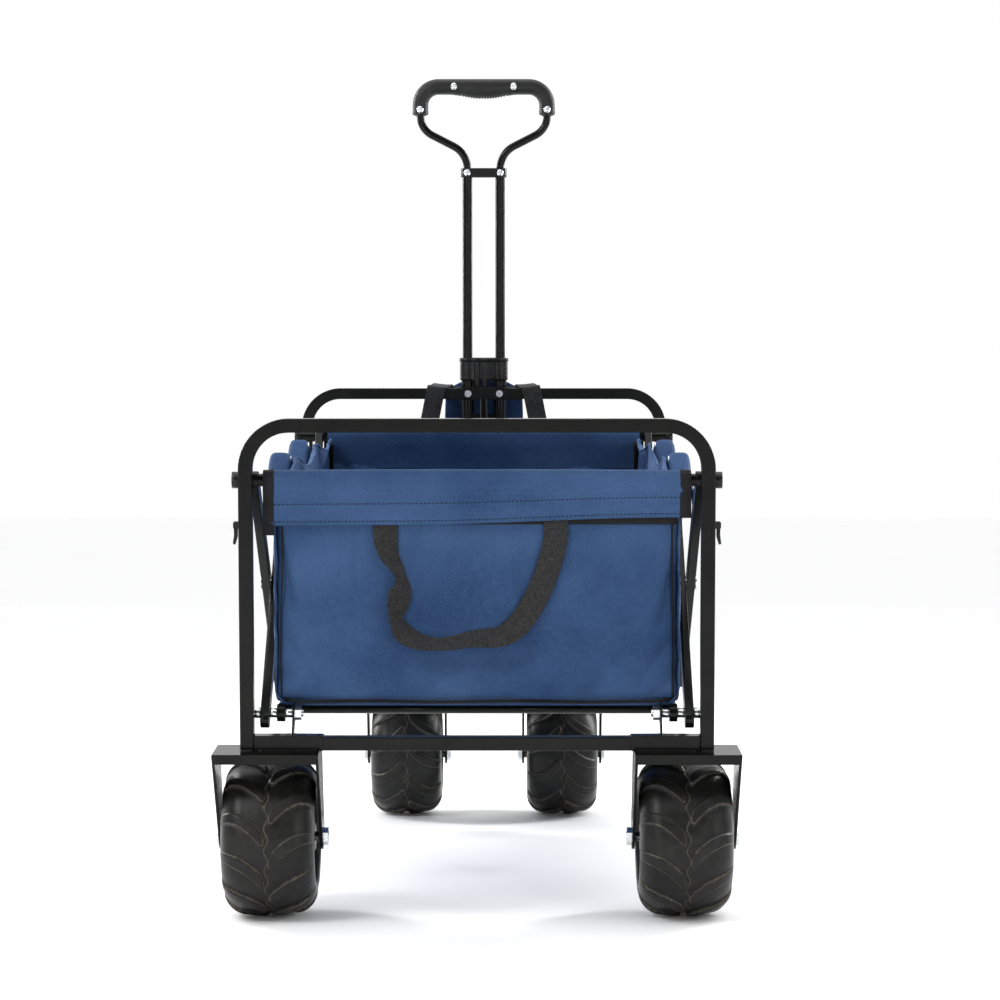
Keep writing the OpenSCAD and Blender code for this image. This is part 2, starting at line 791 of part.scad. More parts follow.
function on_arc(at, r, angle) = at + r * [cos(angle), sin(angle)];
shoulder_path = concat([leg_end], [for (a = [0, 25, 50, 70, 90]) on_arc(shoulder_at, shoulder, a)]);
half_loop = concat(
    [[tube_x, clamp_z - 1]],
    [for (a = [180, 160, 140, 90 + flare]) on_arc([tube_x + bend_in, bend_z], bend_in, a)],
    [for (a = [flare - 90, -42, -21]) on_arc(bend_out_at, bend_out, a)], shoulder_path);
half_grip = concat(shoulder_path, [[44, loop_top], [33, loop_top], [25, loop_top], [9, loop_top]]);
grip_r = 10.2;
grip_radii = [grip_r, grip_r, grip_r, grip_r, grip_r, grip_r, grip_r, grip_r, 12, 12.6];

// A path and its mirror image, joined at the top
function mirrored(half) =
    concat(half, [for (i = [len(half) - 1:-1:0]) [-half[i][0], half[i][1]]]);

// Rings of points around a path in the x-z plane, one radius for each point
function rings(path, radii) = let (n = len(path)) [for (i = [0:n - 1])
    let (d = path[min(i + 1, n - 1)] - path[max(i - 1, 0)], u = [-d[1], d[0]] / norm(d))
    for (k = [0:sides - 1]) let (a = 360 * k / sides, out = radii[i] * cos(a))
        [path[i][0] + u[0] * out, radii[i] * sin(a), path[i][1] + u[1] * out]];

// Faces between consecutive rings that start at point `first`
function wall(first, count, flip) = [for (i = [0:count - 2], k = [0:sides - 1], half = [0, 1])
    let (a = first + i * sides + k, b = first + i * sides + (k + 1) % sides,
         tri = half == 0 ? [a, b, b + sides] : [a, b + sides, a + sides])
        flip ? [tri[2], tri[1], tri[0]] : tri];

module grip_loop() {
    path = mirrored(half_loop);
    n = len(path);
    last = sides * (n - 1);
    color(steel) in_handle()
        polyhedron(rings(path, [for (p = path) loop_d / 2]), concat(wall(0, n, false),
            [[for (k = [sides - 1:-1:0]) k], [for (k = [0:sides - 1]) last + k]]));
}

// Hand grip moulded round the loop: a thick middle and two shoulders
module grip() {
    path = mirrored(half_grip);
    n = len(path);
    outer = concat(grip_radii, [for (i = [len(grip_radii) - 1:-1:0]) grip_radii[i]]);
    inner_at = sides * n;
    last = sides * (n - 1);
    color(rubber) in_handle()
        polyhedron(
            concat(rings(path, outer), rings(path, [for (p = path) loop_d / 2 + fit])),
            concat(wall(0, n, false), wall(inner_at, n, true),
                [for (k = [0:sides - 1]) let (m = (k + 1) % sides)
                 [m, k, inner_at + k, inner_at + m]],
                [for (k = [0:sides - 1]) let (m = (k + 1) % sides)
                 [last + k, last + m, inner_at + last + m, inner_at + last + k]]));
}

// Screws through the grip's ends and the clamp
module handle_screws() {
    color(zinc) in_handle() both_sides() {
        for (p = [[39, loop_top], [leg_end[0], leg_end[1] + 8]])
            translate([p[0], -grip_r, p[1]]) rotate([90, 0, 0]) cylinder(h = 2, r = 4.4);
        translate([tube_x, -8.5, clamp_z + 1]) rotate([90, 0, 0]) cylinder(h = 2, r = 4);
    }
}

// Clip on the front top bar that the lower tubes snap into
module handle_catch() {
    wall_y = wheelbase + tube_w / 2 + 3;
    color(plastic) in_body() {
        translate([-40, wall_y, top_bar_z - 8]) cube([80, 4.5, 16]);
        translate([-12.9, wall_y, top_bar_z - 8]) cube([25.8, 16, 16]);
        both_sides() translate([30.1, wall_y, top_bar_z - 8]) cube([6, 16, 16]);
        // the two bolts that hold it through the bar
        both_sides() translate([20.6, wheelbase - tube_w / 2, top_bar_z])
            rotate([90, 0, 0]) cylinder(h = 1.8, r = 4.5);
    }
}

rear_frame();
rear_bottom_bar();
rear_pivot_bolts();
rear_fork_left();
rear_fork_right();
rear_axle_bolts();
lock_housings();
lock_lever_left();
lock_lever_right();
rear_tyre_left();
rear_tyre_right();
rear_hub_left();
rear_hub_right();
front_tyre_left();
front_tyre_right();
front_hub_left();
front_hub_right();
arms_a1();
arms_b1();
arms_a2();
arms_b2();
arms_a3();
arms_b3();
rivets_a1();
rivets_a2();
rivets_a3();
rear_top_rod();
front_top_rod();
rear_rod_caps();
front_rod_caps();
rear_floor_frame();
front_floor_frame();
bag_floor_rear();
bag_floor_middle();
bag_floor_front();
bag_rear_panel();
bag_front_panel();
bag_side_left();
bag_side_right();
rear_carry_strap();
front_straps();
front_pouch();
front_frame();
front_bottom_bar();
front_pivot_bolts();
caster_carrier();
caster_kingpins();
handle_catch();
caster_fork_left();
caster_fork_right();
front_axle_left();
front_axle_right();
handle_lower_tubes();
tube_block();
handle_pivot_pin();
handle_upper_tubes();
tube_clamp();
grip_loop();
grip();
handle_screws();
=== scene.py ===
"""Looks of the folding beach cart: fabric, webbing, tyres, grip and materials over the CAD frame."""
import json
import math
import bpy
import numpy as np
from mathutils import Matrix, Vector


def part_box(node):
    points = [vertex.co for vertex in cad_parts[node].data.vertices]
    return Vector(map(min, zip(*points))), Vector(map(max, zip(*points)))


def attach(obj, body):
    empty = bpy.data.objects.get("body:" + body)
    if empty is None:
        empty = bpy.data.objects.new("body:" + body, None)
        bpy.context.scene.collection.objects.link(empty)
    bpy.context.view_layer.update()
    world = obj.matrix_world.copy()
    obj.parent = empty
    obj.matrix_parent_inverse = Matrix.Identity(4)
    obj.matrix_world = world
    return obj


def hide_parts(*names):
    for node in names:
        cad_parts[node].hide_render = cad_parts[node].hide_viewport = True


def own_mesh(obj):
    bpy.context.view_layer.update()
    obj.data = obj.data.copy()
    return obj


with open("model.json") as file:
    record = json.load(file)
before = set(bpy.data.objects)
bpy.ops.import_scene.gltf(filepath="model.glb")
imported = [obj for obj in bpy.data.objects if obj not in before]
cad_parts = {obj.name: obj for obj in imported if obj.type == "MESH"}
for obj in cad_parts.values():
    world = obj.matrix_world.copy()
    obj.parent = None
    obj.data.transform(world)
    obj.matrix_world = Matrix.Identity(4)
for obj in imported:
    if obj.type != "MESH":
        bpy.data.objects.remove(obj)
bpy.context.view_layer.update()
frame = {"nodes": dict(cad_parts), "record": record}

MM = 0.001
JOINT = {j["name"]: j for j in frame["record"]["behaviour"]["joints"]}


# ---- The body frame: y along the floor and z up the end frames, in millimetres ----

def joint_at(name):
    return Vector(JOINT[name]["pos_m"])


FLOOR_REAR = joint_at("fold")
FLOOR_FRONT = joint_at("front_frame_turn")
ROD_REAR = joint_at("rear_rod_turn")
ACROSS = Vector((1, 0, 0))
ALONG = (FLOOR_FRONT - FLOOR_REAR).normalized()
UP = (ROD_REAR - FLOOR_REAR).normalized()
INSET = 17.0                                            # the end frames lie this far outside the pivots
REAR, FRONT = INSET, INSET + (FLOOR_FRONT - FLOOR_REAR).length / MM
ROD_Z = (ROD_REAR - FLOOR_REAR).length / MM             # height of the end rods
BAY = (FRONT - REAR) / 3
ARM_SLOPE = ROD_Z / BAY                                 # how steeply the lattice's arms rise
FRONT_POST = FRONT + INSET                              # middle of the front end frame
TUBE_W, TOP_BAR_Z = 14.0, 293.0                         # the end frames' tube and top bar
CATCH_BOLT_X = 20.6
HINGE = joint_at("handle_hinge")
SIDE_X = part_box("bag_side_right")[1].x / MM - 1.5       # middle of a side panel


def to_row(p):
    """Points of the body frame, in mm, as an array in the row frame, in metres."""
    p = np.atleast_2d(np.asarray(p, float)) * MM
    axes = np.array([ACROSS, ALONG, UP])
    origin = np.array(FLOOR_REAR) - np.array(ALONG) * INSET * MM
    return origin + p @ axes


def body_points(p):
    """Points of the row frame, in metres, in the body frame, in mm."""
    origin = np.array(FLOOR_REAR) - np.array(ALONG) * INSET * MM
    return (np.asarray(p, float) - origin) @ np.array([ACROSS, ALONG, UP]).T / MM


def handle_row(p):
    """Points along the handle, in mm from its hinge, in the row frame."""
    p = np.atleast_2d(np.asarray(p, float)) * MM
    return np.array(HINGE) + p @ np.array([ACROSS, ALONG, UP])


def unit(v):
    return v / np.maximum(np.linalg.norm(v, axis=-1, keepdims=True), 1e-12)


def smooth(x):
    x = np.clip(x, 0, 1)
    return x * x * (3 - 2 * x)


def ripple(a, b, seed, size):
    """A smooth wandering value from -1 to 1 over two coordinates."""
    r = np.random.default_rng(seed)
    out = np.zeros(np.broadcast(a, b).shape)
    for _ in range(7):
        f, g = r.uniform(0.4, 1.6, 2) / size
        out += np.sin(2 * math.pi * (f * a * r.choice([-1, 1]) + g * b) + r.uniform(0, 6.28))
    return out / 4


# ---- Materials ----

class Shade:
    """A material's node tree, built from short calls."""

    def __init__(self, name):
        self.mat = bpy.data.materials.new(name)
        self.mat.use_nodes = True
        self.tree = self.mat.node_tree
        self.bsdf = self.tree.nodes["Principled BSDF"]
        self.coord = self.tree.nodes.new("ShaderNodeTexCoord").outputs["Object"]

    def node(self, kind, inputs=(), **settings):
        n = self.tree.nodes.new("ShaderNode" + kind)
        for key, value in settings.items():
            setattr(n, key, value)
        for key, value in dict(inputs).items():
            if isinstance(value, bpy.types.NodeSocket):
                self.tree.links.new(value, n.inputs[key])
            else:
                n.inputs[key].default_value = value
        return n

    def noise(self, scale, detail=4.0, vector=None):
        n = self.node("TexNoise", {"Vector": vector or self.coord, "Scale": scale, "Detail": detail})
        return n.outputs["Fac"]

    def bands(self, scale, direction, vector=None):
        n = self.node("TexWave", {"Vector": vector or self.coord, "Scale": scale},
                      bands_direction=direction)
        return n.outputs["Fac"]

    def math(self, operation, a, b):
        return self.node("Math", {0: a, 1: b}, operation=operation).outputs[0]

    def ramp(self, value, stops):
        n = self.node("ValToRGB", {"Fac": value})
        while len(n.color_ramp.elements) < len(stops):
            n.color_ramp.elements.new(0.5)
        for element, (at, colour) in zip(n.color_ramp.elements, stops):
            element.position = at
            element.color = (*colour, 1)
        return n.outputs["Color"]

    def between(self, value, low, high):
        n = self.node("MapRange", {"Value": value, "To Min": low, "To Max": high})
        return n.outputs["Result"]

    def bump(self, height, strength, distance, under=None):
        inputs = {"Height": height, "Strength": strength, "Distance": distance}
        if under is not None:
            inputs["Normal"] = under
        return self.node("Bump", inputs).outputs["Normal"]

    def set(self, **values):
        names = {"colour": "Base Color", "rough": "Roughness", "normal": "Normal",
                 "metal": "Metallic", "sheen": "Sheen Weight", "sheen_rough": "Sheen Roughness",
                 "sheen_tint": "Sheen Tint", "coat": "Coat Weight", "coat_rough": "Coat Roughness",
                 "specular": "Specular IOR Level"}
        for key, value in values.items():
            socket = self.bsdf.inputs[names[key]]
            if isinstance(value, bpy.types.NodeSocket):
                self.tree.links.new(value, socket)
            else:
                socket.default_value = (*value, 1) if isinstance(value, tuple) else value
        return self.mat


def powder_coat():
    s = Shade("powder_coat")
    colour = s.ramp(s.noise(45), [(0.3, (0.0032, 0.0036, 0.0032)), (0.75, (0.0062, 0.0068, 0.0058))])
    rough = s.between(s.noise(160, 2.0), 0.12, 0.22)
    peel = s.bump(s.noise(1300, 1.0), 0.05, 0.0004)
    return s.set(colour=colour, rough=rough, normal=peel, specular=0.15)


def zinc_plate():
    s = Shade("zinc_plate")
    colour = s.ramp(s.noise(400), [(0.3, (0.60, 0.62, 0.63)), (0.7, (0.82, 0.83, 0.84))])
    return s.set(colour=colour, rough=s.between(s.noise(700), 0.18, 0.34), metal=1.0,
                 normal=s.bump(s.noise(1800), 0.1, 0.0003))


def moulded_plastic(name, shade, rough):
    s = Shade(name)
    colour = s.ramp(s.noise(60), [(0.3, (shade, shade, shade * 1.02)),
                                  (0.8, (shade * 1.5, shade * 1.5, shade * 1.55))])
    grain = s.bump(s.noise(2600, 2.0), 0.25, 0.0003)
    return s.set(colour=colour, rough=s.between(s.noise(220), rough - 0.06, rough + 0.08),
                 normal=grain, specular=0.25)


def tyre_rubber(name, dark, light, rough):
    s = Shade(name)
    dust = s.math("MULTIPLY", s.noise(14, 6.0), s.noise(130, 4.0))
    colour = s.ramp(dust, [(0.12, dark), (0.45, light)])
    grain = s.bump(s.noise(1900, 3.0), 0.22, 0.0004)
    soft = s.bump(s.noise(90, 3.0), 0.2, 0.002, under=grain)
    return s.set(colour=colour, rough=s.between(s.noise(40), rough - 0.07, rough + 0.1), normal=soft,
                 specular=0.2)


def woven(name, dark, light, thread, sheen):
    """Plain-weave polyester; thread is the weave's pitch in metres."""
    s = Shade(name)
    scale = 2 * math.pi / (20 * thread)
    warp = s.bands(scale, "X")
    weft = s.math("MULTIPLY", s.bands(scale, "Z"), s.bands(scale, "Y"))
    weave = s.math("ADD", warp, weft)
    mottle = s.math("ADD", s.math("MULTIPLY", s.noise(9, 5.0), 0.75),
                    s.math("MULTIPLY", s.noise(420, 3.0), 0.25))
    tone = s.math("ADD", mottle, s.math("MULTIPLY", weave, 0.05))
    colour = s.ramp(tone, [(0.36, dark), (0.72, light)])
    crease = s.bump(s.noise(55, 5.0), 0.22, 0.0022)
    normal = s.bump(weave, 0.35, 0.0004, under=crease)
    return s.set(colour=colour, rough=s.between(s.noise(300), 0.62, 0.8), normal=normal,
                 sheen=sheen, sheen_rough=0.45, sheen_tint=light, specular=0.12)


def webbing_weave():
    """Ribbed strap; the ribs follow the strap's own length."""
    s = Shade("webbing_weave")
    uv = s.tree.nodes.new("ShaderNodeTexCoord").outputs["UV"]
    ribs = s.bands(2 * math.pi / (20 * 0.0022), "Y", uv)
    cords = s.bands(2 * math.pi / (20 * 0.0030), "X", uv)
    height = s.math("ADD", ribs, s.math("MULTIPLY", cords, 0.7))
    tone = s.math("ADD", s.math("MULTIPLY", height, 0.25), s.noise(300))
    colour = s.ramp(tone, [(0.4, (0.008, 0.008, 0.009)), (1.0, (0.035, 0.035, 0.036))])
    return s.set(colour=colour, rough=0.75, normal=s.bump(height, 0.7, 0.0008), sheen=0.12,
                 sheen_rough=0.4, specular=0.2)


COAT = powder_coat()
ZINC = zinc_plate()
PLASTIC = moulded_plastic("moulded_plastic", 0.007, 0.26)
GRIP = moulded_plastic("grip_rubber", 0.012, 0.46)
RUBBER = tyre_rubber("tyre_rubber", (0.0085, 0.0085, 0.0083), (0.019, 0.019, 0.018), 0.34)
# Lighter tan rubber for the lug edges and the mould line: a painted highlight along those edges.
LUG_EDGE_HIGHLIGHT = tyre_rubber("rubber_painted_edge_highlight", (0.052, 0.046, 0.036), (0.105, 0.092, 0.072), 0.6)
CLOTH = woven("oxford_cloth", (0.0125, 0.035, 0.096), (0.044, 0.090, 0.197), 0.0011, 0.2)
# The same oxford cloth in a lighter blue, for faces inside the bag: painted light on them.
LIT_CLOTH = woven("oxford_cloth_painted_lighter", (0.022, 0.056, 0.145), (0.058, 0.120, 0.258), 0.0011, 0.2)
TAPE = woven("binding_tape", (0.006, 0.006, 0.007), (0.016, 0.016, 0.018), 0.0012, 0.2)
STITCH = woven("stitch_thread", (0.010, 0.014, 0.024), (0.022, 0.030, 0.050), 0.0008, 0.1)
WEBBING = webbing_weave()


# ---- Mesh tools ----

def make(name, points, faces, body, material, uv=None, flat=False):
    """A mesh in the row frame, in metres, that rides on a body."""
    data = bpy.data.meshes.new(name)
    data.from_pydata([tuple(p) for p in points], [], [tuple(int(i) for i in f) for f in faces])
    data.validate()
    obj = bpy.data.objects.new(name, data)
    bpy.context.scene.collection.objects.link(obj)
    data.materials.append(material)
    if uv is not None:
        layer = data.uv_layers.new(name="run")
        ids = np.zeros(len(data.loops), int)
        data.loops.foreach_get("vertex_index", ids)
        layer.data.foreach_set("uv", np.asarray(uv, np.float32)[ids].ravel())
    data.polygons.foreach_set("use_smooth", [not flat] * len(data.polygons))
    data.update()
    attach(obj, body)
    return obj


def grid_faces(rows, columns, wrap=False):
    """Quads over a grid of points stored row by row; wrap joins the last column to the first."""
    faces = []
    for i in range(rows - 1):
        for k in range(columns if wrap else columns - 1):
            m = (k + 1) % columns
            faces.append((i * columns + k, i * columns + m, (i + 1) * columns + m, (i + 1) * columns + k))
    return faces


def cushion_faces(rows, columns):
    """Faces of a closed cushion: an upper grid, a lower grid after it, and the edge between."""
    n = rows * columns
    faces = grid_faces(rows, columns)
    faces += [tuple(n + i for i in f[::-1]) for f in grid_faces(rows, columns)]
    rim = [k for k in range(columns)] + [i * columns + columns - 1 for i in range(1, rows)]
    rim += [n - 1 - k for k in range(1, columns)]
    rim += [i * columns for i in range(rows - 2, 0, -1)]
    return faces + [(b, a, n + a, n + b) for a, b in zip(rim, rim[1:] + rim[:1])]


def apply_modifiers(obj):
    """Replaces a mesh with its modified shape, so that no modifier is left on it."""
    graph = bpy.context.evaluated_depsgraph_get()
    graph.update()
    mesh = bpy.data.meshes.new_from_object(obj.evaluated_get(graph))
    obj.modifiers.clear()
    obj.data = mesh
    return obj


def thicken(obj, thickness, offset=0.0, subdivide=0):
    """Gives a surface its thickness, in mm, and applies it."""
    if subdivide:
        m = obj.modifiers.new("fine", "SUBSURF")
        m.levels = m.render_levels = subdivide
    m = obj.modifiers.new("thick", "SOLIDIFY")
    m.thickness = thickness * MM
    m.offset = offset
    return apply_modifiers(obj)


HANG_STEPS = 26    # simulated frames
SLACK_CUT = 0.012  # how much wider than its frame the cloth is cut


def settle(obj, pinned, cap):
    """Cloth simulation: hangs the surface from its pinned points, then keeps the shape.
    No point moves further than cap, in mm."""
    rest = np.array([v.co for v in obj.data.vertices])
    group = obj.vertex_groups.new(name="pins")
    group.add([int(i) for i in np.nonzero(pinned)[0]], 1.0, "ADD")
    cloth = obj.modifiers.new("cloth", "CLOTH")
    c = cloth.settings
    c.quality = 5
    c.mass = 0.25
    c.tension_stiffness = c.compression_stiffness = 18
    c.shear_stiffness = 6
    c.bending_stiffness = 0.25
    c.shrink_min = c.shrink_max = -SLACK_CUT
    c.vertex_group_mass = "pins"
    cloth.collision_settings.use_self_collision = False
    cloth.point_cache.frame_start = 1
    cloth.point_cache.frame_end = HANG_STEPS
    scene = bpy.context.scene
    for step in range(1, HANG_STEPS + 1):
        scene.frame_set(step)
    graph = bpy.context.evaluated_depsgraph_get()
    shaped = obj.evaluated_get(graph).to_mesh()
    moved = np.array([v.co for v in shaped.vertices]) - rest
    obj.evaluated_get(graph).to_mesh_clear()
    obj.modifiers.remove(cloth)
    scene.frame_set(1)
    far = np.linalg.norm(moved, axis=1, keepdims=True)
    moved *= np.minimum(1, cap * MM / np.maximum(far, 1e-9))
    for v, p in zip(obj.data.vertices, rest + moved):
        v.co = p
    obj.vertex_groups.clear()


def cross_directions(path):
    """Two directions across a path at each point, carried along it without twisting."""
    run = unit(np.gradient(path, axis=0))
    a = np.cross(run[0], (0.123, 0.456, 0.789))
    sides = []
    for r in run:
        a = unit(a - r * (a @ r))
        sides.append(a)
    sides = np.array(sides)
    return sides, np.cross(run, sides)


def tube(name, path, radii, body, material, sides=14):
    """A round tube with domed ends along a path in the row frame; radii are in mm."""
    path = np.asarray(path, float)
    radii = np.broadcast_to(np.asarray(radii, float), len(path)) * MM
    a, b = cross_directions(path)
    angle = np.linspace(0, 2 * math.pi, sides, endpoint=False)
    rings = [path[i] + radii[i] * (np.outer(np.cos(angle), a[i]) + np.outer(np.sin(angle), b[i]))
             for i in range(len(path))]
    points = np.concatenate(rings)
    faces = grid_faces(len(path), sides, wrap=True)
    faces += [tuple(range(sides - 1, -1, -1)), tuple((len(path) - 1) * sides + k for k in range(sides))]
    return make(name, points, faces, body, material)


def curve_through(points, count):
    """count points on a smooth curve through given points."""
    p = np.asarray(points, float)
    p = np.vstack([2 * p[0] - p[1], p, 2 * p[-1] - p[-2]])
    spans = len(p) - 3
    out = []
    for s in np.linspace(0, spans - 1e-6, count):
        i, t = int(s), s - int(s)
        p0, p1, p2, p3 = p[i:i + 4]
        out.append(0.5 * (2 * p1 + (p2 - p0) * t + (2 * p0 - 5 * p1 + 4 * p2 - p3) * t * t
                          + (3 * p1 - p0 - 3 * p2 + p3) * t ** 3))
    return np.array(out)


def strap(name, path, across, width, body, thickness=1.7, material=None,
          press=1.0):
    """A flat strap: path and the direction of its width at each point, in the row frame.
    press scales the part of its width that stands out from the panel behind it."""
    path, across = np.asarray(path, float), unit(np.asarray(across, float))
    run = unit(np.gradient(path, axis=0))
    across = unit(across - run * np.sum(across * run, axis=1, keepdims=True))
    out = np.cross(run, across)
    deep = np.array(ALONG)
    across = across - (1 - press) * np.outer(across @ deep, deep)
    half, t = width / 2 * MM, thickness / 2 * MM
    section = [(-1, 0.55), (-0.9, 1), (0, 1.05), (0.9, 1), (1, 0.55),
               (1, -0.55), (0.9, -1), (0, -1.05), (-0.9, -1), (-1, -0.55)]
    steps = np.concatenate([[0], np.cumsum(np.linalg.norm(np.diff(path, axis=0), axis=1))])
    points, uv = [], []
    for i in range(len(path)):
        for u, v in section:
            points.append(path[i] + across[i] * u * half + out[i] * v * t)
            uv.append((u * half, steps[i]))
    n = len(section)
    faces = grid_faces(len(path), n, wrap=True)
    faces += [tuple(range(n - 1, -1, -1)), tuple((len(path) - 1) * n + k for k in range(n))]
    obj = make(name, points, faces, body, material or WEBBING, uv=uv)
    return obj


def stitches(name, path, body, pitch=4.2, length=2.7, thick=0.55):
    """A row of short sewn stitches along a path in the row frame."""
    steps = np.concatenate([[0], np.cumsum(np.linalg.norm(np.diff(path, axis=0), axis=1))])
    points, faces = [], []
    shape = [(-1, 0.2), (-0.6, 1), (0.6, 1), (1, 0.2)]
    for s in np.arange(pitch / 2 * MM, steps[-1], pitch * MM):
        centre = np.array([np.interp(s, steps, path[:, k]) for k in range(3)])
        ahead = np.array([np.interp(s + 0.001, steps, path[:, k]) for k in range(3)])
        run = unit(ahead - centre)
        a = unit(np.cross(run, np.array(ALONG)))
        b = np.cross(run, a)
        first = len(points)
        for u, r in shape:
            for k in range(6):
                w = 2 * math.pi * k / 6
                points.append(centre + run * u * length / 2 * MM
                              + (a * math.cos(w) + b * math.sin(w)) * r * thick * MM)
        faces += [tuple(first + i for i in f) for f in grid_faces(4, 6, wrap=True)]
        faces += [tuple(first + 5 - k for k in range(6)), tuple(first + 18 + k for k in range(6))]
    return make(name, points, faces, body, STITCH)


# ---- CAD pieces that stay: rounded edges and a finish ----

def dress(names, material, bevel):
    for name in names:
        obj = frame["nodes"][name]
        obj.data.materials.clear()
        obj.data.materials.append(material)
        weld = obj.modifiers.new("weld", "WELD")
        weld.merge_threshold = 0.00001
        if bevel:
            m = obj.modifiers.new("edges", "BEVEL")
            m.width = bevel * MM
            m.segments = 2
            m.limit_method = "ANGLE"
            m.angle_limit = math.radians(50)
            m.harden_normals = True


STEEL_NODES = ["rear_fork_left", "rear_fork_right", "arms_a1", "arms_b1", "arms_a2", "arms_b2",
               "arms_a3", "arms_b3", "front_bottom_bar", "rear_bottom_bar", "rear_frame",
               "front_frame", "caster_carrier", "caster_fork_left", "caster_fork_right"]
TUBE_NODES = ["rear_top_rod", "front_top_rod", "rear_floor_frame", "front_floor_frame",
              "handle_lower_tubes", "handle_upper_tubes"]
ZINC_NODES = ["rear_pivot_bolts", "rear_axle_bolts", "rivets_a1", "rivets_a2", "rivets_a3",
              "front_pivot_bolts", "caster_kingpins", "front_axle_left", "front_axle_right",
              "handle_pivot_pin"]
PLASTIC_NODES = ["lock_housings", "lock_lever_left", "lock_lever_right", "rear_rod_caps",
                 "front_rod_caps", "handle_catch", "tube_clamp", "rear_hub_left",
                 "rear_hub_right", "front_hub_left", "front_hub_right"]
dress(STEEL_NODES, COAT, 1.5)
dress(TUBE_NODES, COAT, 0)
dress(ZINC_NODES, ZINC, 0.5)
dress(PLASTIC_NODES, PLASTIC, 0.8)


def plate_catch_bolts():
    """Gives the bolts through the catch their own finish."""
    obj = frame["nodes"]["handle_catch"]
    obj.data.materials.append(ZINC)
    face_y = FRONT_POST - TUBE_W / 2 + 1
    for face in obj.data.polygons:
        if body_points(obj.matrix_world @ face.center)[1] < face_y:
            face.material_index = 1


plate_catch_bolts()


# ---- Tyres ----

LUGS = 11          # lugs around each half of a tread
LUG_SWEEP = 31.0   # how far a lug runs round the tyre on its way to the shoulder, in mm
LUG_RISE = 3.8     # relief of a lug
CROWN = 1.2        # fall of the tread from its middle to its shoulders
TYRE_CORNER = 25.0
BEAD_R = 46.0      # where the tyre sits on its hub


def tyre_section(half, radius, count):
    """The tyre's outline from one bead to the other: distance from its middle, and radius."""
    corner, side = TYRE_CORNER, radius - CROWN - TYRE_CORNER
    t = np.linspace(-1, 1, count)
    pts = []
    for s in t:
        a = abs(s)
        if a < 0.45:
            u, r = a / 0.45 * (half - corner), radius - CROWN * (a / 0.45) ** 2
        elif a < 0.82:
            w = (a - 0.45) / 0.37 * math.pi / 2
            u, r = half - corner + corner * math.sin(w), side + corner * math.cos(w)
        else:
            w = (a - 0.82) / 0.18
            u, r = half - 5.0 * w * w, side - w * (side - BEAD_R)
        pts.append((math.copysign(u, s), r))
    return np.array(pts)


def tyre(side, end):
    node = f"{end}_tyre_{side}"
    low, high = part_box(node)
    centre = (low + high) / 2
    half, radius = (high.x - low.x) / 2 / MM, (high.z - low.z) / 2 / MM
    way = 1 if end == "rear" else -1
    section = tyre_section(half, radius - LUG_RISE, 113)
    turns = 600
    angle = np.linspace(0, 2 * math.pi, turns, endpoint=False)
    u, r = section[:, 0][None, :], section[:, 1][None, :]
    around = angle[:, None] * radius
    pitch = 2 * math.pi * radius / LUGS
    reach = np.clip(np.abs(u) / half, 0, 1)
    bend = LUG_SWEEP * (1 - (1 - reach) ** 2.1)
    shift = np.where(u > 0, 0.0, pitch / 2)
    place = (way * around - bend + shift) % pitch
    off = np.minimum(np.abs(place - pitch / 2), pitch)
    wide = 8.6 - 3.0 * reach
    tip = smooth((np.abs(u) - 1.2 - 0.05 * off ** 2) / 1.8)
    end_fade = smooth((r - (radius - 30)) / 8)
    lug = smooth((wide - off) / 2.2 + 0.5) * tip * end_fade
    waver = 2.0 * np.sin(2 * math.pi * around / pitch * 2)
    seam = 0.7 * np.exp(-((u - waver) / 0.6) ** 2)
    rad = np.minimum(r + np.maximum(LUG_RISE * lug, seam), radius)
    # The lug slopes and the mould line take the lighter rubber: painted highlight on those edges.
    highlit_edges = ((lug > 0.42) & (lug < 0.985) & (end_fade > 0.5)) | (seam > 0.4)
    x = np.broadcast_to(u, rad.shape)
    y, z = -np.cos(angle)[:, None] * rad, np.sin(angle)[:, None] * rad
    points = np.stack([x, y, z], axis=-1).reshape(-1, 3) * MM + np.array(centre)
    columns = section.shape[0]
    faces = grid_faces(turns, columns)
    faces += [((turns - 1) * columns + k, (turns - 1) * columns + k + 1, k + 1, k)
              for k in range(columns - 1)]
    inner = len(points)
    bead = []
    for i in range(turns):
        for k in (0, columns - 1):
            p = points[i * columns + k] - np.array(centre)
            scale = BEAD_R * MM / math.hypot(p[1], p[2])
            bead.append(np.array(centre) + p * (1, scale, scale))
    points = np.vstack([points, bead])
    for i in range(turns):
        j = (i + 1) % turns
        a, b = inner + 2 * i, inner + 2 * j
        faces.append((i * columns, a, b, j * columns))
        faces.append((a, a + 1, b + 1, b))
        faces.append((a + 1, i * columns + columns - 1, j * columns + columns - 1, b + 1))
    obj = make(f"tread_{end}_{side}", points, faces, f"{end}_wheel_{side}", RUBBER)
    obj.data.materials.append(LUG_EDGE_HIGHLIGHT)
    for i, k in zip(*np.nonzero(highlit_edges[:, :-1])):
        if i < turns - 1:
            obj.data.polygons[int(i * (columns - 1) + k)].material_index = 1
    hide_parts(node)


for end_name in ("rear", "front"):
    for side_name in ("left", "right"):
        tyre(side_name, end_name)


# ---- Bag ----

HALF = SIDE_X - 1.0        # half width of the end panels
BOTTOM = 9.5               # underside of the bag's walls
PANEL_TOP = ROD_Z - 12     # where an end panel's cloth passes behind its hem
FLOOR_LIFT = 5.3           # underside of the floor pads
FLOOR_T = 4.0
HEM_X = {"rear": 214.5, "front": 208.7}    # half width of each hem
HEM_LOW = 192.8            # lower edge of the hem's outer layer
SLEEVE = 7.4               # radius of the hem round its rod
SLACK = 2.2                # how far the hem stands above its rod


def end_row(points, front):
    """Points of the rear end, or of its mirror at the front, in the row frame."""
    p = np.array(points, float)
    if front:
        p[:, 1] = REAR + FRONT - p[:, 1]
    return to_row(p)


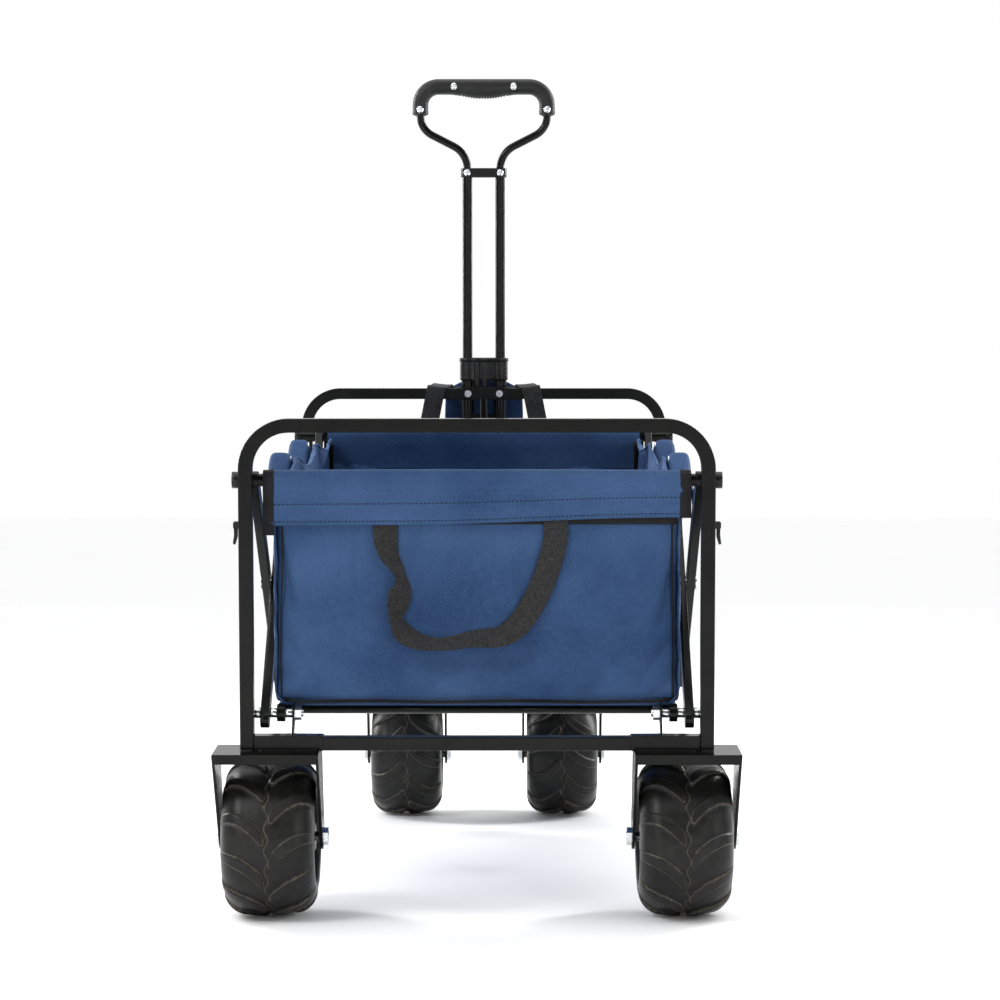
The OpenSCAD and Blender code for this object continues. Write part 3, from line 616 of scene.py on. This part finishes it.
def panel_depth(x, z, front):
    """How far an end panel's middle layer lies from the end frame at a point of it."""
    u, v = x / HALF, (z - BOTTOM) / (PANEL_TOP - BOTTOM)
    low = 1 - v
    bulge = 3.4 * (1 - u ** 4) * np.sin(np.pi * np.clip(v * 0.92 + 0.06, 0, 1)) ** 0.7
    folds = (2.0 + 1.4 * front) * ripple(x, z, 3 + front, 150) * (0.35 + 0.65 * low)
    folds = folds + 1.0 * ripple(x, z, 5 + front, 48) * low ** 2
    pull = 2.2 * np.sin((np.abs(x) * 0.9 + z * 1.5) / 9) * smooth((np.abs(u) - 0.70) / 0.2)
    roll = 3.4 * np.exp(-((z - 31) / 15) ** 2) - 1.6 * np.exp(-((z - 58) / 9) ** 2)
    y = 17.5 - bulge - folds + pull * low ** 3 - roll * (1 - u ** 6)
    y = y + 11 * smooth((np.abs(x) - HALF + 9) / 9) ** 2
    return y + 13 * smooth((BOTTOM + 14 - z) / 14) ** 2


def end_panel(front):
    """Main cloth of an end: it bulges out, and rolls forward at its bottom and sides."""
    nx, nz = 84, 48
    u = np.linspace(-1, 1, nx)[None, :]
    v = np.linspace(0, 1, nz)[:, None]
    x = u * HALF * np.ones_like(v)
    z = BOTTOM + (PANEL_TOP - BOTTOM) * v * np.ones_like(u)
    y = panel_depth(x, z, front)
    pts = np.stack([x, y, z], axis=-1).reshape(-1, 3)
    faces = grid_faces(nz, nx)
    if front:
        faces = [f[::-1] for f in faces]
    name = "front" if front else "rear"
    # The front panel's inside face takes the lighter copy of the cloth: painted light.
    obj = make(f"cloth_{name}_panel", end_row(pts, front), faces, f"{name}_bag",
               CLOTH if not front else LIT_CLOTH)
    edge = ((np.abs(u) > 0.985) | (v < 0.03) | (v > 0.9)) & np.ones((nz, nx), bool)
    settle(obj, edge.ravel(), cap=5.0)
    hung = body_points([v.co for v in obj.data.vertices]).reshape(nz, nx, 3)[..., 1]
    thicken(obj, 1.8, subdivide=1)
    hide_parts(f"bag_{name}_panel")
    return hung


def hem(front):
    """The hem that wraps the rod: outer layer, round the rod, and down inside."""
    name = "front" if front else "rear"
    low = HEM_LOW - ROD_Z
    wrap = [(SLEEVE * math.cos(a), SLEEVE * math.sin(a) * 1.05 + SLACK)
            for a in np.radians(np.linspace(172, 8, 12))]
    profile = [(-8.0, low), (-9.2, -34), (-6.3, -19), (-7.4, -8)] + wrap
    profile += [(6.8, -8), (4.0, -22), (1.4, -36), (1.0, low + 3)]
    line = curve_through([(REAR + a, ROD_Z + b, 0) for a, b in profile], 46)[:, :2]
    u = np.linspace(-1, 1, 96)
    rows = []
    for i, (y, z) in enumerate(line):
        s = i / (len(line) - 1)
        loose = smooth((0.36 - s) / 0.36)
        inside = smooth((s - 0.62) / 0.1)
        x = u * (HEM_X[name] - inside * (HEM_X[name] - HALF + 1))
        zz = z * np.ones_like(x)
        wave = ripple(x, zz, 11 + front, 210) + 0.6 * ripple(x, zz, 12 + front, 48)
        pucker = 0.8 * ripple(x, zz * 0.4, 14 + front, 26) * smooth((np.abs(x) - 150) / 60)
        rise = loose * 8.5 * smooth((u + 0.35) / 1.35) * (0 if front else 1)
        sag = 1.1 * (u ** 2 - 0.5) * (1 - inside)
        rows.append(np.stack([x, y + loose * 0.55 * (wave + pucker), zz + rise - sag], axis=-1))
    faces = grid_faces(len(line), len(u))
    if not front:
        faces = [f[::-1] for f in faces]
    obj = make(f"cloth_{name}_hem", end_row(np.concatenate(rows), front), faces,
               f"{name}_bag", CLOTH)
    thicken(obj, 1.3, subdivide=1)
    return rows


def hem_details(front, rows):
    """Two rows of stitches, a bound lower edge, tape at the hem's ends, and a dark strip behind the lower
    edge that paints the shadow under the hem.
    """
    name = "front" if front else "rear"
    layer = np.array(rows[:16])
    climb = np.concatenate([[0], np.cumsum(np.linalg.norm(np.diff(layer[:, 48], axis=0), axis=1))])
    for k, height in enumerate((3.0, 20.5)):
        i = int(np.searchsorted(climb, height)) - 1
        share = (height - climb[i]) / (climb[i + 1] - climb[i])
        path = layer[i] * (1 - share) + layer[i + 1] * share + np.array([0, -0.75, 0])
        stitches(f"stitches_{name}_hem_{k + 1}", end_row(path, front)[2:-2], f"{name}_bag")
    roll = rows[0] + np.array([0, 0.2, 0])
    tube(f"hem_edge_{name}", end_row(roll, front), 1.0, f"{name}_bag", CLOTH,
         sides=8)
    for s, label in ((-1, "left"), (1, "right")):
        ends = np.array([r[0 if s < 0 else -1] for r in rows[:30]])
        tail = 10.5 if s < 0 else 1.5
        ends = np.vstack([ends[0] - (0, 0, tail), ends])
        path = curve_through(ends - (s * 4.6, 0, 0), 60)
        flat_dir = np.tile(np.array(ACROSS), (len(path), 1))
        strap(f"tape_{name}_hem_{label}", end_row(path, front), flat_dir, 11.5,
              f"{name}_bag", 1.9, TAPE)
    # A dark strip behind the hem's lower edge, in the gap to the panel: painted shadow under the hem's
    # outer layer.
    x = np.linspace(-HALF + 3, HALF - 3, 40)
    path = np.stack([x, 13.2 + 0.3 * np.sin(x / 40), 199 + 0 * x], axis=-1)
    flat_dir = np.tile(np.array(UP), (len(x), 1))
    strap(f"tape_{name}_seam", end_row(path, front), flat_dir, 13.0, f"{name}_bag", 1.2,
          TAPE)


def side_panel(side):
    """A side of the bag: its rim rises over the lattice's upper pivots and sags between them."""
    s = -1 if side == "left" else 1
    ny, nz = 150, 40
    t = np.linspace(0, 3, ny)[None, :]
    v = np.linspace(0, 1, nz)[:, None]
    seed = 21 + s
    rim = ROD_Z + 5.5 - 9.5 * np.sin(np.pi * t) ** 2 + 0.8 * ripple(t * 260, v * 0, seed, 90)
    rim = rim - 11 * (smooth((0.09 - t) / 0.03) + smooth((t - 2.91) / 0.03))
    y = REAR + t * BAY * np.ones_like(v)
    y = np.clip(y, REAR + 2, FRONT - 2)
    z = BOTTOM + (rim - BOTTOM) * v
    high = smooth((v - 0.55) / 0.45)
    sway = 2.6 * ripple(y, z, seed + 1, 190) * (0.3 + 0.7 * v) + 1.2 * ripple(y, z, seed + 2, 60) * high
    lean = 2.5 * high * np.sin(np.pi * t) ** 2 - 1.0
    x = s * (SIDE_X - 1.5 - np.abs(sway) - np.maximum(lean, 0))
    x = x - s * 9 * smooth((BOTTOM + 13 - z) / 13) ** 2
    pts = np.stack([x * np.ones_like(y), y, z], axis=-1).reshape(-1, 3)
    faces = grid_faces(nz, ny)
    if s < 0:
        faces = [f[::-1] for f in faces]
    obj = make(f"cloth_side_{side}", to_row(pts), faces, "rear_bag", CLOTH)
    held = (v < 0.03) | (t < 0.02) | (t > 2.98) | ((v > 0.97) & (np.abs(t - np.round(t)) < 0.05))
    settle(obj, (held & np.ones((nz, ny), bool)).ravel(), cap=7.0)
    rest = np.array([p.co for p in obj.data.vertices])
    limit = (SIDE_X + 0.6) * MM
    rest[:, 0] = np.clip(rest[:, 0], -limit, limit)
    for vert, p in zip(obj.data.vertices, rest):
        vert.co = p
    rim_path = rest.reshape(nz, ny, 3)[-1]
    thicken(obj, 1.8)
    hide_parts(f"bag_side_{side}")
    flatten(obj)
    flatten(tube(f"rim_roll_{side}", rim_path, 1.5, "rear_bag", CLOTH, sides=10))


def flatten(obj):
    """Gives a piece its own copy of its mesh."""
    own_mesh(obj)


def tab(side, bay):
    """A short cloth tab that hooks the rim over an upper pivot of the lattice."""
    s = -1 if side == "left" else 1
    mid = REAR + bay * BAY
    section = [(206.5, 216), (207.5, 232), (209.3, 242.5), (213, 247.0), (221, 247.9), (229, 247.0),
               (232.2, 240), (233.6, 226), (236.4, 202), (240, 172)]
    line = curve_through([(a, b, 0) for a, b in section], 36)[:, :2]
    along = np.linspace(-1, 1, 14)
    rows = []
    for i, (x, z) in enumerate(line):
        width = 34 + 8 * smooth(1 - i / 14) - 14 * smooth((i - 22) / 12)
        y = mid + along * width
        off = along * width
        dip = ARM_SLOPE * (np.sqrt(off ** 2 + 64) - 8) * smooth((z - 205) / 25)
        dip = dip + 1.2 * ripple(y, z * np.ones_like(y), 40 + bay + 3 * (s > 0), 70)
        rows.append(np.stack([s * x * np.ones_like(y), y, z - dip], axis=-1))
    faces = grid_faces(len(line), len(along))
    if s > 0:
        faces = [f[::-1] for f in faces]
    obj = make(f"cloth_tab_{side}_{bay}", to_row(np.concatenate(rows)), faces, "rear_bag", CLOTH)
    thicken(obj, 1.5, subdivide=1)
    flatten(obj)


def corner_tape(side, front):
    """Black tape over the seam where a side meets an end, inside the bag."""
    s = -1 if side == "left" else 1
    name = "front" if front else "rear"
    z = np.linspace(BOTTOM + 8, ROD_Z - 6, 30)
    y = REAR + 14 + 6 * smooth((ROD_Z - z) / 40) - 6 + 0.6 * np.sin(z / 17)
    path = end_row(np.stack([s * (HALF - 6) * np.ones_like(z), y + 4, z], axis=-1), front)
    wide = np.tile(np.array(ACROSS) + np.array(ALONG) * s * (1 if front else -1), (len(z), 1))
    strap(f"tape_corner_{name}_{side}", path, wide, 10.0, f"{name}_bag", 1.6, TAPE)


def bottom_piping(front):
    """Dark piping along the bottom seam of an end."""
    name = "front" if front else "rear"
    x = np.linspace(-HALF + 5, HALF - 5, 60)
    edge = smooth((np.abs(x) - HALF + 24) / 20)
    y = 15.5 + 8 * edge + 0.5 * np.sin(x / 31)
    z = BOTTOM + 2.2 + 3 * edge + 0.4 * np.sin(x / 23)
    path = end_row(np.stack([x, y, z], axis=-1), front)
    tube(f"piping_{name}", path, 1.7, f"{name}_bag", TAPE, sides=8)


def corner_seam(side):
    """Dark seam down an edge of the rear panel."""
    s = -1 if side == "left" else 1
    z = np.linspace(BOTTOM + 7, ROD_Z - 30, 60)
    x = s * (198.0 + 1.2 * np.sin(z / 37))
    y = panel_depth(x, z, False) - 0.8
    path = to_row(np.stack([x, y, z], axis=-1))
    tube(f"seam_rear_{side}", path, 1.2 if s > 0 else 0.8, "rear_bag", TAPE, sides=8)


def floor_pad(node, body, quilt):
    """A padded floor length with rounded edges and quilted lines across it."""
    low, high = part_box(node)
    nx, ny = 70, 50
    y0 = (low.y - to_row((0, 0, FLOOR_LIFT))[0][1]) / ALONG.y / MM
    y1 = y0 + (high.y - low.y) / ALONG.y / MM - 0.4
    u = np.linspace(-1, 1, nx)[None, :]
    v = np.linspace(0, 1, ny)[:, None]
    half = (high.x - low.x) / 2 / MM
    x, y = u * half * np.ones_like(v), y0 + (y1 - y0) * v * np.ones_like(u)
    from_edge = np.minimum(half - np.abs(x), np.minimum(y - y0, y1 - y))
    crown = np.sqrt(np.clip(from_edge / 6, 0, 1))
    groove = np.exp(-(((v * quilt) % 1 - 0.5) / 0.04) ** 2) if quilt else 0
    top = FLOOR_LIFT + FLOOR_T * (0.35 + 0.65 * crown) - 1.3 * groove * crown
    top = top + 0.35 * ripple(x, y, 60, 70) * crown
    bottom = FLOOR_LIFT + 0.2 + 0 * x
    pts = np.concatenate([np.stack([x, y, top], axis=-1).reshape(-1, 3),
                          np.stack([x, y, bottom], axis=-1).reshape(-1, 3)])
    # The pads take the lighter copy of the cloth: painted light.
    obj = make(f"pad_{node}", to_row(pts), cushion_faces(ny, nx), body, LIT_CLOTH)
    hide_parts(node)
    return obj


rear_hung = end_panel(False)
end_panel(True)
for is_front in (False, True):
    hem_details(is_front, hem(is_front))
    bottom_piping(is_front)
    corner_seam("right" if is_front else "left")
    for side_name in ("left", "right"):
        corner_tape(side_name, is_front)
for side_name in ("left", "right"):
    side_panel(side_name)
    for bay in (1, 2):
        tab(side_name, bay)
floor_pad("bag_floor_rear", "rear_floor", 3)
floor_pad("bag_floor_front", "front_floor", 3)
middle = floor_pad("bag_floor_middle", "rear_floor", 0)
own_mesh(middle)


# ---- Webbing ----

def panel_face(hung, x, z):
    """The outermost depth of the hung rear panel near each point of a path."""
    rows, columns = hung.shape
    i = np.rint((z - BOTTOM) / (PANEL_TOP - BOTTOM) * (rows - 1)).astype(int).clip(0, rows - 1)
    k = np.rint((x / HALF + 1) / 2 * (columns - 1)).astype(int)
    near = np.array([hung[max(a - 2, 0):a + 3, b - 3:b + 4].min() for a, b in zip(i, k)])
    return np.convolve(np.pad(near, 5, mode="edge"), np.ones(11) / 11, mode="valid")


def carry_strap(hung):
    """The rear carry strap: sewn under the hem, and hanging with two half twists on its left leg."""
    points = [(-92, 206), (-92, 192), (-92, 177), (-88, 161), (-79, 147), (-75.5, 136), (-77, 126),
              (-78.5, 117), (-81, 107), (-81, 97), (-74.5, 84), (-60, 75.5), (-42, 72.5), (-25, 73.5),
              (-9, 77), (8, 78.5), (24, 80), (40, 90), (53.5, 108), (65, 131), (74, 156), (79, 178),
              (79.5, 192), (79.5, 206)]
    turn = [0, 0, 14, 45, 66, 64, 30, 22, 42, 60, 40, 52, 64, 62, 56, 45, 38, 14, 0, 0, 0, 0, 0, 0]
    x, z, twist = curve_through([(*p, a) for p, a in zip(points, turn)], 130).T
    stand_off = 2.4 + 5.6 * np.sin(np.radians(np.abs(twist))) + 1.2 * np.sin(np.linspace(0, math.pi, 130))
    path = np.stack([x, panel_face(hung, x, z) - stand_off, z], axis=-1)
    run = unit(np.gradient(path, axis=0))
    face = np.array([0, -1.0, 0])
    across = unit(np.cross(run, face))
    out = np.cross(across, run)
    w = np.radians(twist)[:, None]
    width_dir = across * np.cos(w) + out * np.sin(w)
    flat_dir = width_dir @ np.array([ACROSS, ALONG, UP])
    obj = strap("rear_carry_webbing", to_row(path), flat_dir, 24.5, "rear_bag", press=0.75)
    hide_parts("rear_carry_strap")
    for x in (-92, 79.5):
        box_path = np.array([(x - 10, 10.4, 181), (x + 10, 10.4, 181)])
        stitches(f"stitches_strap_{'left' if x < 0 else 'right'}", to_row(box_path), "rear_bag",
                 pitch=3.2, length=2.2)


def front_straps():
    """Two straps from the front hem, over the top bar, to the pouch in front of the handle."""
    bar_top = TOP_BAR_Z + TUBE_W / 2 + 1.9
    points = [(72, -15.5, 243), (71, -11.5, 256), (68, -9.6, 272), (64.5, -9.2, 290),
              (62, -7.5, bar_top - 1), (60.5, 0, bar_top + 0.3), (58.5, 8, bar_top),
              (56, 20, bar_top + 1.2), (53.5, 31, bar_top + 1.0), (50, 37.5, bar_top - 8)]
    path = curve_through(points, 60)
    path[:, 1] += FRONT_POST
    for s, label in ((-1, "left"), (1, "right")):
        p = path * (s, 1, 1)
        flat_dir = np.tile(np.array(ACROSS) + 0.12 * s * np.array(UP), (len(p), 1))
        obj = strap(f"front_webbing_{label}", to_row(p), flat_dir, 24, "front_bag")
        if s < 0:
            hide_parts("front_straps")


def pouch():
    """A small soft pouch that hangs in front of the handle's tubes."""
    low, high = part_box("front_pouch")
    half = (high.x - low.x) / 2 / MM
    nx, nz = 36, 36
    u = np.linspace(-1, 1, nx)[None, :]
    v = np.linspace(0, 1, nz)[:, None]
    z = 201 + (108 - 9 * smooth((np.abs(u) - 0.45) / 0.5)) * v
    x = u * half * (0.97 + 0.03 * np.sin(np.pi * v))
    puff = (1 - u ** 6) * np.sin(np.pi * v) ** 0.35
    y_mid = FRONT_POST + 41
    front = y_mid + 0.8 + 4.2 * puff + 0.8 * ripple(x, z, 70, 60) * puff
    back = y_mid - 0.8 - 1.4 * puff
    pts = np.concatenate([np.stack([x, front, z], axis=-1).reshape(-1, 3),
                          np.stack([x, back, z], axis=-1).reshape(-1, 3)])
    faces = [f[::-1] for f in cushion_faces(nz, nx)]
    obj = make("cloth_pouch", to_row(pts), faces, "front_bag", CLOTH)
    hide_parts("front_pouch")


carry_strap(rear_hung)
front_straps()
pouch()


# ---- Handle ----

LOOP_TOP = 708.0
SHOULDER = 24.0        # bend radius of the loop's shoulders
SHOULDER_X = 59.0
LEG = 14.0             # straight length under each shoulder
BEND_OUT = 28.0        # bend radius under the leg
BEND_IN = 33.0         # bend radius at the neck
FLARE = 27.0           # rise of the flare, in degrees
NECK_X = 21.5
CLAMP = 595.0
BLOCK_Z, BLOCK_H = 324.0, 29.0     # foot and height of the guide block
GRIP_R = 10.2
LEG_X, LEG_Z = SHOULDER_X + SHOULDER, LOOP_TOP - SHOULDER - LEG


def arc(cx, cz, r, a0, a1, count):
    a = np.radians(np.linspace(a0, a1, count))
    return np.stack([cx + r * np.cos(a), 0 * a, cz + r * np.sin(a)], axis=-1)


def grip_half(count):
    """The gripped part of the loop's right half, from the leg's end to the middle."""
    leg = np.array([(LEG_X, 0, z) for z in np.linspace(LEG_Z, LEG_Z + LEG, 16)[:-1]])
    shoulder = arc(SHOULDER_X, LOOP_TOP - SHOULDER, SHOULDER, 0, 90, 40)
    top = np.array([(x, 0, LOOP_TOP) for x in np.linspace(SHOULDER_X, 0, count)[1:]])
    return np.concatenate([leg, shoulder, top])


def loop_half():
    """The right half of the bent loop, from the clamp to the middle of the grip."""
    f = math.radians(FLARE)
    end_x = LEG_X - BEND_OUT * (1 - math.sin(f))
    end_z = LEG_Z - BEND_OUT * math.cos(f)
    x = NECK_X + BEND_IN * (1 - math.sin(f))
    bend_z = end_z - (end_x - x) * math.tan(f) - BEND_IN * math.cos(f)
    neck = np.array([(NECK_X, 0, z) for z in np.linspace(CLAMP - 1, bend_z - 1, 6)])
    low = arc(NECK_X + BEND_IN, bend_z, BEND_IN, 180, 90 + FLARE, 14)
    high = arc(LEG_X - BEND_OUT, LEG_Z, BEND_OUT, FLARE - 90, 0, 14)
    flare = np.linspace(low[-1], high[0], 8)[1:-1]
    return np.concatenate([neck, low, flare, high[:-1], grip_half(14)])


def handle_loop():
    """The bent rod that the grip is moulded on."""
    half = loop_half()
    path = np.concatenate([half, (half * (-1, 1, 1))[::-1][1:]])
    obj = tube("loop_rod", handle_row(path), 5.0, "handle_upper", COAT, sides=24)
    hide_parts("grip_loop")


def hand_grip():
    """Moulded grip: it swells downwards in the middle, with fine ribs under the fingers."""
    half = grip_half(170)
    path = np.concatenate([half, (half * (-1, 1, 1))[::-1][1:]])
    x = np.abs(path[:, 0])
    on_top = (path[:, 2] > LOOP_TOP - 0.5) & (x < SHOULDER_X)
    swell = np.where(on_top, 5.4 * smooth((46 - x) / 40), 0)
    ribs = np.where(on_top, smooth((33 - x) / 3), 0) * (np.cos(2 * math.pi * x / 3.6) > 0) * 0.9
    steps = np.concatenate([[0], np.cumsum(np.linalg.norm(np.diff(path, axis=0), axis=1))])
    from_end = np.minimum(steps, steps[-1] - steps)
    rad = GRIP_R * (0.62 + 0.38 * smooth(from_end / 2.2)) + 0.25 * (from_end < 7) * (from_end > 1)
    run = unit(np.gradient(path, axis=0))
    normal = np.stack([-run[:, 2], 0 * x, run[:, 0]], axis=-1)
    depth = np.array([0, 1.0, 0])
    angle = np.linspace(0, 2 * math.pi, 40, endpoint=False)
    below = smooth(0.35 - np.cos(angle) * np.sign(normal[len(path) // 2, 2] or 1))
    rings = []
    for i in range(len(path)):
        grown = (rad[i] + swell[i] * below - ribs[i] * below)[:, None]
        wide = (rad[i] + 0.15 * swell[i])
        rings.append(path[i] + np.outer(np.cos(angle), normal[i]) * grown
                     + np.outer(np.sin(angle), depth) * wide)
    faces = grid_faces(len(path), 40, wrap=True)
    faces += [tuple(range(39, -1, -1)), tuple((len(path) - 1) * 40 + k for k in range(40))]
    obj = make("hand_grip", handle_row(np.concatenate(rings)), faces, "handle_upper", GRIP)
    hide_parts("grip")


def dome_screw(name, at, facing, r, body):
    """A domed screw head with a cross recess, facing a direction of the handle's frame."""
    rings, segs = 9, 28
    facing = np.asarray(facing, float)
    a = np.array([1.0, 0, 0])
    b = np.cross(facing, a)
    points = []
    for i in range(rings):
        t = i / (rings - 1) * math.pi / 2
        for k in range(segs):
            w = 2 * math.pi * k / segs
            q = r * math.cos(t)
            cross = min(abs(math.cos(w)), abs(math.sin(w))) * q < 0.5 and q < r * 0.55
            h = r * 0.5 * math.sin(t) - (0.8 if cross else 0)
            points.append(at + (a * math.cos(w) + b * math.sin(w)) * q + facing * h)
    points.append(at + facing * (r * 0.5 - 0.8))
    faces = grid_faces(rings - 1, segs, wrap=True)
    last = (rings - 2) * segs
    tip = len(points) - 1
    faces += [(last + k, last + (k + 1) % segs, tip) for k in range(segs)]
    return make(name, handle_row(points), faces, body, ZINC)


def screws():
    """Domed screws through the grip's four corners and the clamp."""
    n = 0
    for s in (-1, 1):
        for x, z, y in ((39, LOOP_TOP, -10.0), (LEG_X, LEG_Z + 8, -10.0), (NECK_X, CLAMP + 1, -8.4)):
            n += 1
            obj = dome_screw(f"screw_{n}", np.array([s * x, y, z]), (0, -1, 0), 4.6, "handle_upper")
            if n == 1:
                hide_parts("handle_screws")


def rounded_loft(name, outline, levels, ribs, body, material):
    """Stacks scaled copies of an outline (x, y): levels are (z, scale, depth of the ribs)."""
    outline = np.asarray(outline, float)
    n, middle = len(outline), outline.mean(axis=0)
    points = []
    for z, scale, depth in levels:
        for (x, y), rib in zip(outline, ribs):
            px, py = (x - middle[0]) * scale, (y - middle[1]) * (scale + depth * rib)
            points.append((middle[0] + px, middle[1] + py, z))
    faces = grid_faces(len(levels), n, wrap=True)
    faces += [tuple(range(n - 1, -1, -1)), tuple((len(levels) - 1) * n + k for k in range(n))]
    return make(name, handle_row(points), faces, body, material)


def guide_block():
    """The moulded block that caps the lower tubes: a cup at the left, ribs at the right."""
    z0, h = BLOCK_Z, BLOCK_H
    outline, ribs = [], []
    for k in range(144):
        w = 2 * math.pi * k / 144
        c, s = math.cos(w), math.sin(w)
        x = math.copysign(abs(c) ** 0.42, c) * 31.5
        waist = 1 - 0.22 * math.exp(-((x + 8) / 7.0) ** 2)
        outline.append((x, math.copysign(abs(s) ** 0.6, s) * 12.4 * waist))
        ribs.append(1.0 if x > 6 and (k // 3) % 2 else 0.0)
    levels = [(z0 - 1, 0.93, 0), (z0, 0.985, 0), (z0 + 1.5, 1.0, 0.0), (z0 + 3, 1.0, 0.035),
              (z0 + h - 5.5, 1.0, 0.035), (z0 + h - 4.5, 1.0, 0), (z0 + h - 4, 1.035, 0),
              (z0 + h - 1.0, 1.035, 0), (z0 + h, 1.0, 0), (z0 + h + 0.5, 0.9, 0)]
    obj = rounded_loft("guide_block", outline, levels, ribs, "handle_lower", PLASTIC)
    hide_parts("tube_block")
    for x, r, top in ((-9.0, 4.6, 24), (1.0, 4.2, 21)):
        post = [(x + r * math.cos(w), -8.2 + r * math.sin(w) * 1.05)
                for w in np.linspace(0, 2 * math.pi, 32, endpoint=False)]
        levels = [(z0 - 8, 0.97, 0), (z0 - 7, 1, 0), (z0 + top - 1.5, 1, 0), (z0 + top, 0.97, 0)]
        rounded_loft(f"release_post_{1 if x < 0 else 2}", post, levels, [0] * 32, "handle_lower",
                     PLASTIC)


def catch_bolts():
    """Domed heads of the bolts that hold the catch to the front top bar."""
    bar_y = FRONT_POST - TUBE_W / 2
    for s, label in ((-1, "left"), (1, "right")):
        points, faces = [], []
        for i in range(8):
            t = i / 7 * math.pi / 2
            for k in range(24):
                w = 2 * math.pi * k / 24
                q = 4.6 * math.cos(t)
                points.append((s * CATCH_BOLT_X + q * math.cos(w), bar_y - 1.8 * math.sin(t),
                               TOP_BAR_Z + q * math.sin(w)))
        faces = grid_faces(8, 24, wrap=True)
        make(f"catch_bolt_{label}", to_row(points), faces, "front_frame", ZINC)


handle_loop()
catch_bolts()
hand_grip()
screws()
guide_block()


# ---- Weld beads ----

def weld(name, a, b, body, seed, r=1.5):
    """A slightly uneven bead between two points of the body frame."""
    count = 26
    t = np.linspace(0, 1, count)[:, None]
    path = np.array(a) * (1 - t) + np.array(b) * t
    rad = r * (1 + 0.14 * np.sin(np.arange(count) * 2.1 + seed))
    rad[[0, -1]] *= 0.4
    return tube(name, to_row(path), rad, body, COAT, sides=10)


def welds():
    """Beads where the cross bars and the rear forks' crowns meet the posts."""
    for s, label in ((-1, "left"), (1, "right")):
        for y0, body, end in ((0, "root", "rear"), (REAR + FRONT, "front_frame", "front")):
            for z, row in ((-21, "top"), (-35, "low")):
                weld(f"weld_{end}_{label}_{row}", (s * 224.5, y0 - 6, z), (s * 224.5, y0 + 6, z), body, z)
        for x0, x1, row in ((226, 238, "post"), (160, 222, "bar")):
            weld(f"weld_crown_{label}_{row}", (s * x0, -7.6, -35), (s * x1, -7.6, -35), "root", x0)


welds()


# ---- Stage, light and camera ----

def stage():
    """A pale floor, and a world that is white behind the cart and dark behind the camera."""
    floor = bpy.data.meshes.new("floor")
    size = 60.0
    floor.from_pydata([(-size, -size, 0), (size, -size, 0), (size, size, 0), (-size, size, 0)], [],
                      [(0, 1, 2, 3)])
    obj = bpy.data.objects.new("floor", floor)
    bpy.context.scene.collection.objects.link(obj)
    s = Shade("studio_floor")
    colour = s.ramp(s.noise(0.8), [(0.0, (0.86, 0.86, 0.86)), (1.0, (0.9, 0.9, 0.9))])
    floor.materials.append(s.set(colour=colour, rough=0.75))
    world = bpy.data.worlds.new("studio")
    world.use_nodes = True
    tree = world.node_tree
    coord = tree.nodes.new("ShaderNodeTexCoord")
    axes = tree.nodes.new("ShaderNodeSeparateXYZ")
    ramp = tree.nodes.new("ShaderNodeValToRGB")
    ramp.color_ramp.elements[0].position, ramp.color_ramp.elements[1].position = 0.25, 0.95
    ramp.color_ramp.elements[0].color = (0.07, 0.07, 0.072, 1)
    ramp.color_ramp.elements[1].color = (1, 1, 1, 1)
    shift = tree.nodes.new("ShaderNodeMapRange")
    shift.inputs["From Min"].default_value = -1
    tree.links.new(coord.outputs["Generated"], axes.inputs[0])
    tree.links.new(axes.outputs["Y"], shift.inputs["Value"])
    tree.links.new(shift.outputs["Result"], ramp.inputs["Fac"])
    tree.links.new(ramp.outputs["Color"], tree.nodes["Background"].inputs["Color"])
    tree.nodes["Background"].inputs["Strength"].default_value = 1.0
    bpy.context.scene.world = world
    bpy.context.scene.view_settings.view_transform = "Standard"


def area_light(name, at, aim, size, power):
    data = bpy.data.lights.new(name, "AREA")
    data.shape = "RECTANGLE"
    data.size, data.size_y = size
    data.energy = power
    obj = bpy.data.objects.new(name, data)
    bpy.context.scene.collection.objects.link(obj)
    obj.location = at
    obj.rotation_euler = (Vector(aim) - Vector(at)).to_track_quat("-Z", "Y").to_euler()


CAMERA_BACK = 2.610    # from the rear end frame, in metres
CAMERA_UP = 0.4275
CAMERA_ASIDE = 0.0292
LENS = 93.1            # on a 36 mm sensor
TURN = math.atan(6 / 2587)


def camera():
    data = bpy.data.cameras.new("camera")
    data.sensor_width = 36.0
    data.lens = LENS
    data.clip_end = 60
    obj = bpy.data.objects.new("camera", data)
    bpy.context.scene.collection.objects.link(obj)
    rear_plane = to_row((0, 0, 0))[0][1]
    obj.location = (CAMERA_ASIDE, rear_plane - CAMERA_BACK, CAMERA_UP)
    obj.rotation_euler = (math.pi / 2, 0, TURN)
    bpy.context.scene.camera = obj


def overhead_light():
    """A broad soft light from straight above."""
    data = bpy.data.lights.new("overhead", "SUN")
    data.energy = 2.1
    data.angle = math.radians(70)
    obj = bpy.data.objects.new("overhead", data)
    bpy.context.scene.collection.objects.link(obj)


stage()
overhead_light()
area_light("key", (-1.9, -2.0, 2.6), (0, 0, 0.4), (1.2, 1.0), 52)
area_light("fill", (2.4, -2.1, 1.3), (0, 0, 0.35), (1.4, 1.4), 12)
area_light("strip_left", (-1.15, -2.5, 0.8), (0, 0, 0.5), (0.06, 1.6), 9)
area_light("strip_right", (1.35, -2.4, 0.8), (0, 0, 0.5), (0.06, 1.6), 9)
area_light("rim_left", (-2.0, 1.2, 1.5), (0, 0, 0.4), (0.25, 1.8), 60)
area_light("rim_right", (2.0, 1.2, 1.5), (0, 0, 0.4), (0.25, 1.8), 60)
camera()
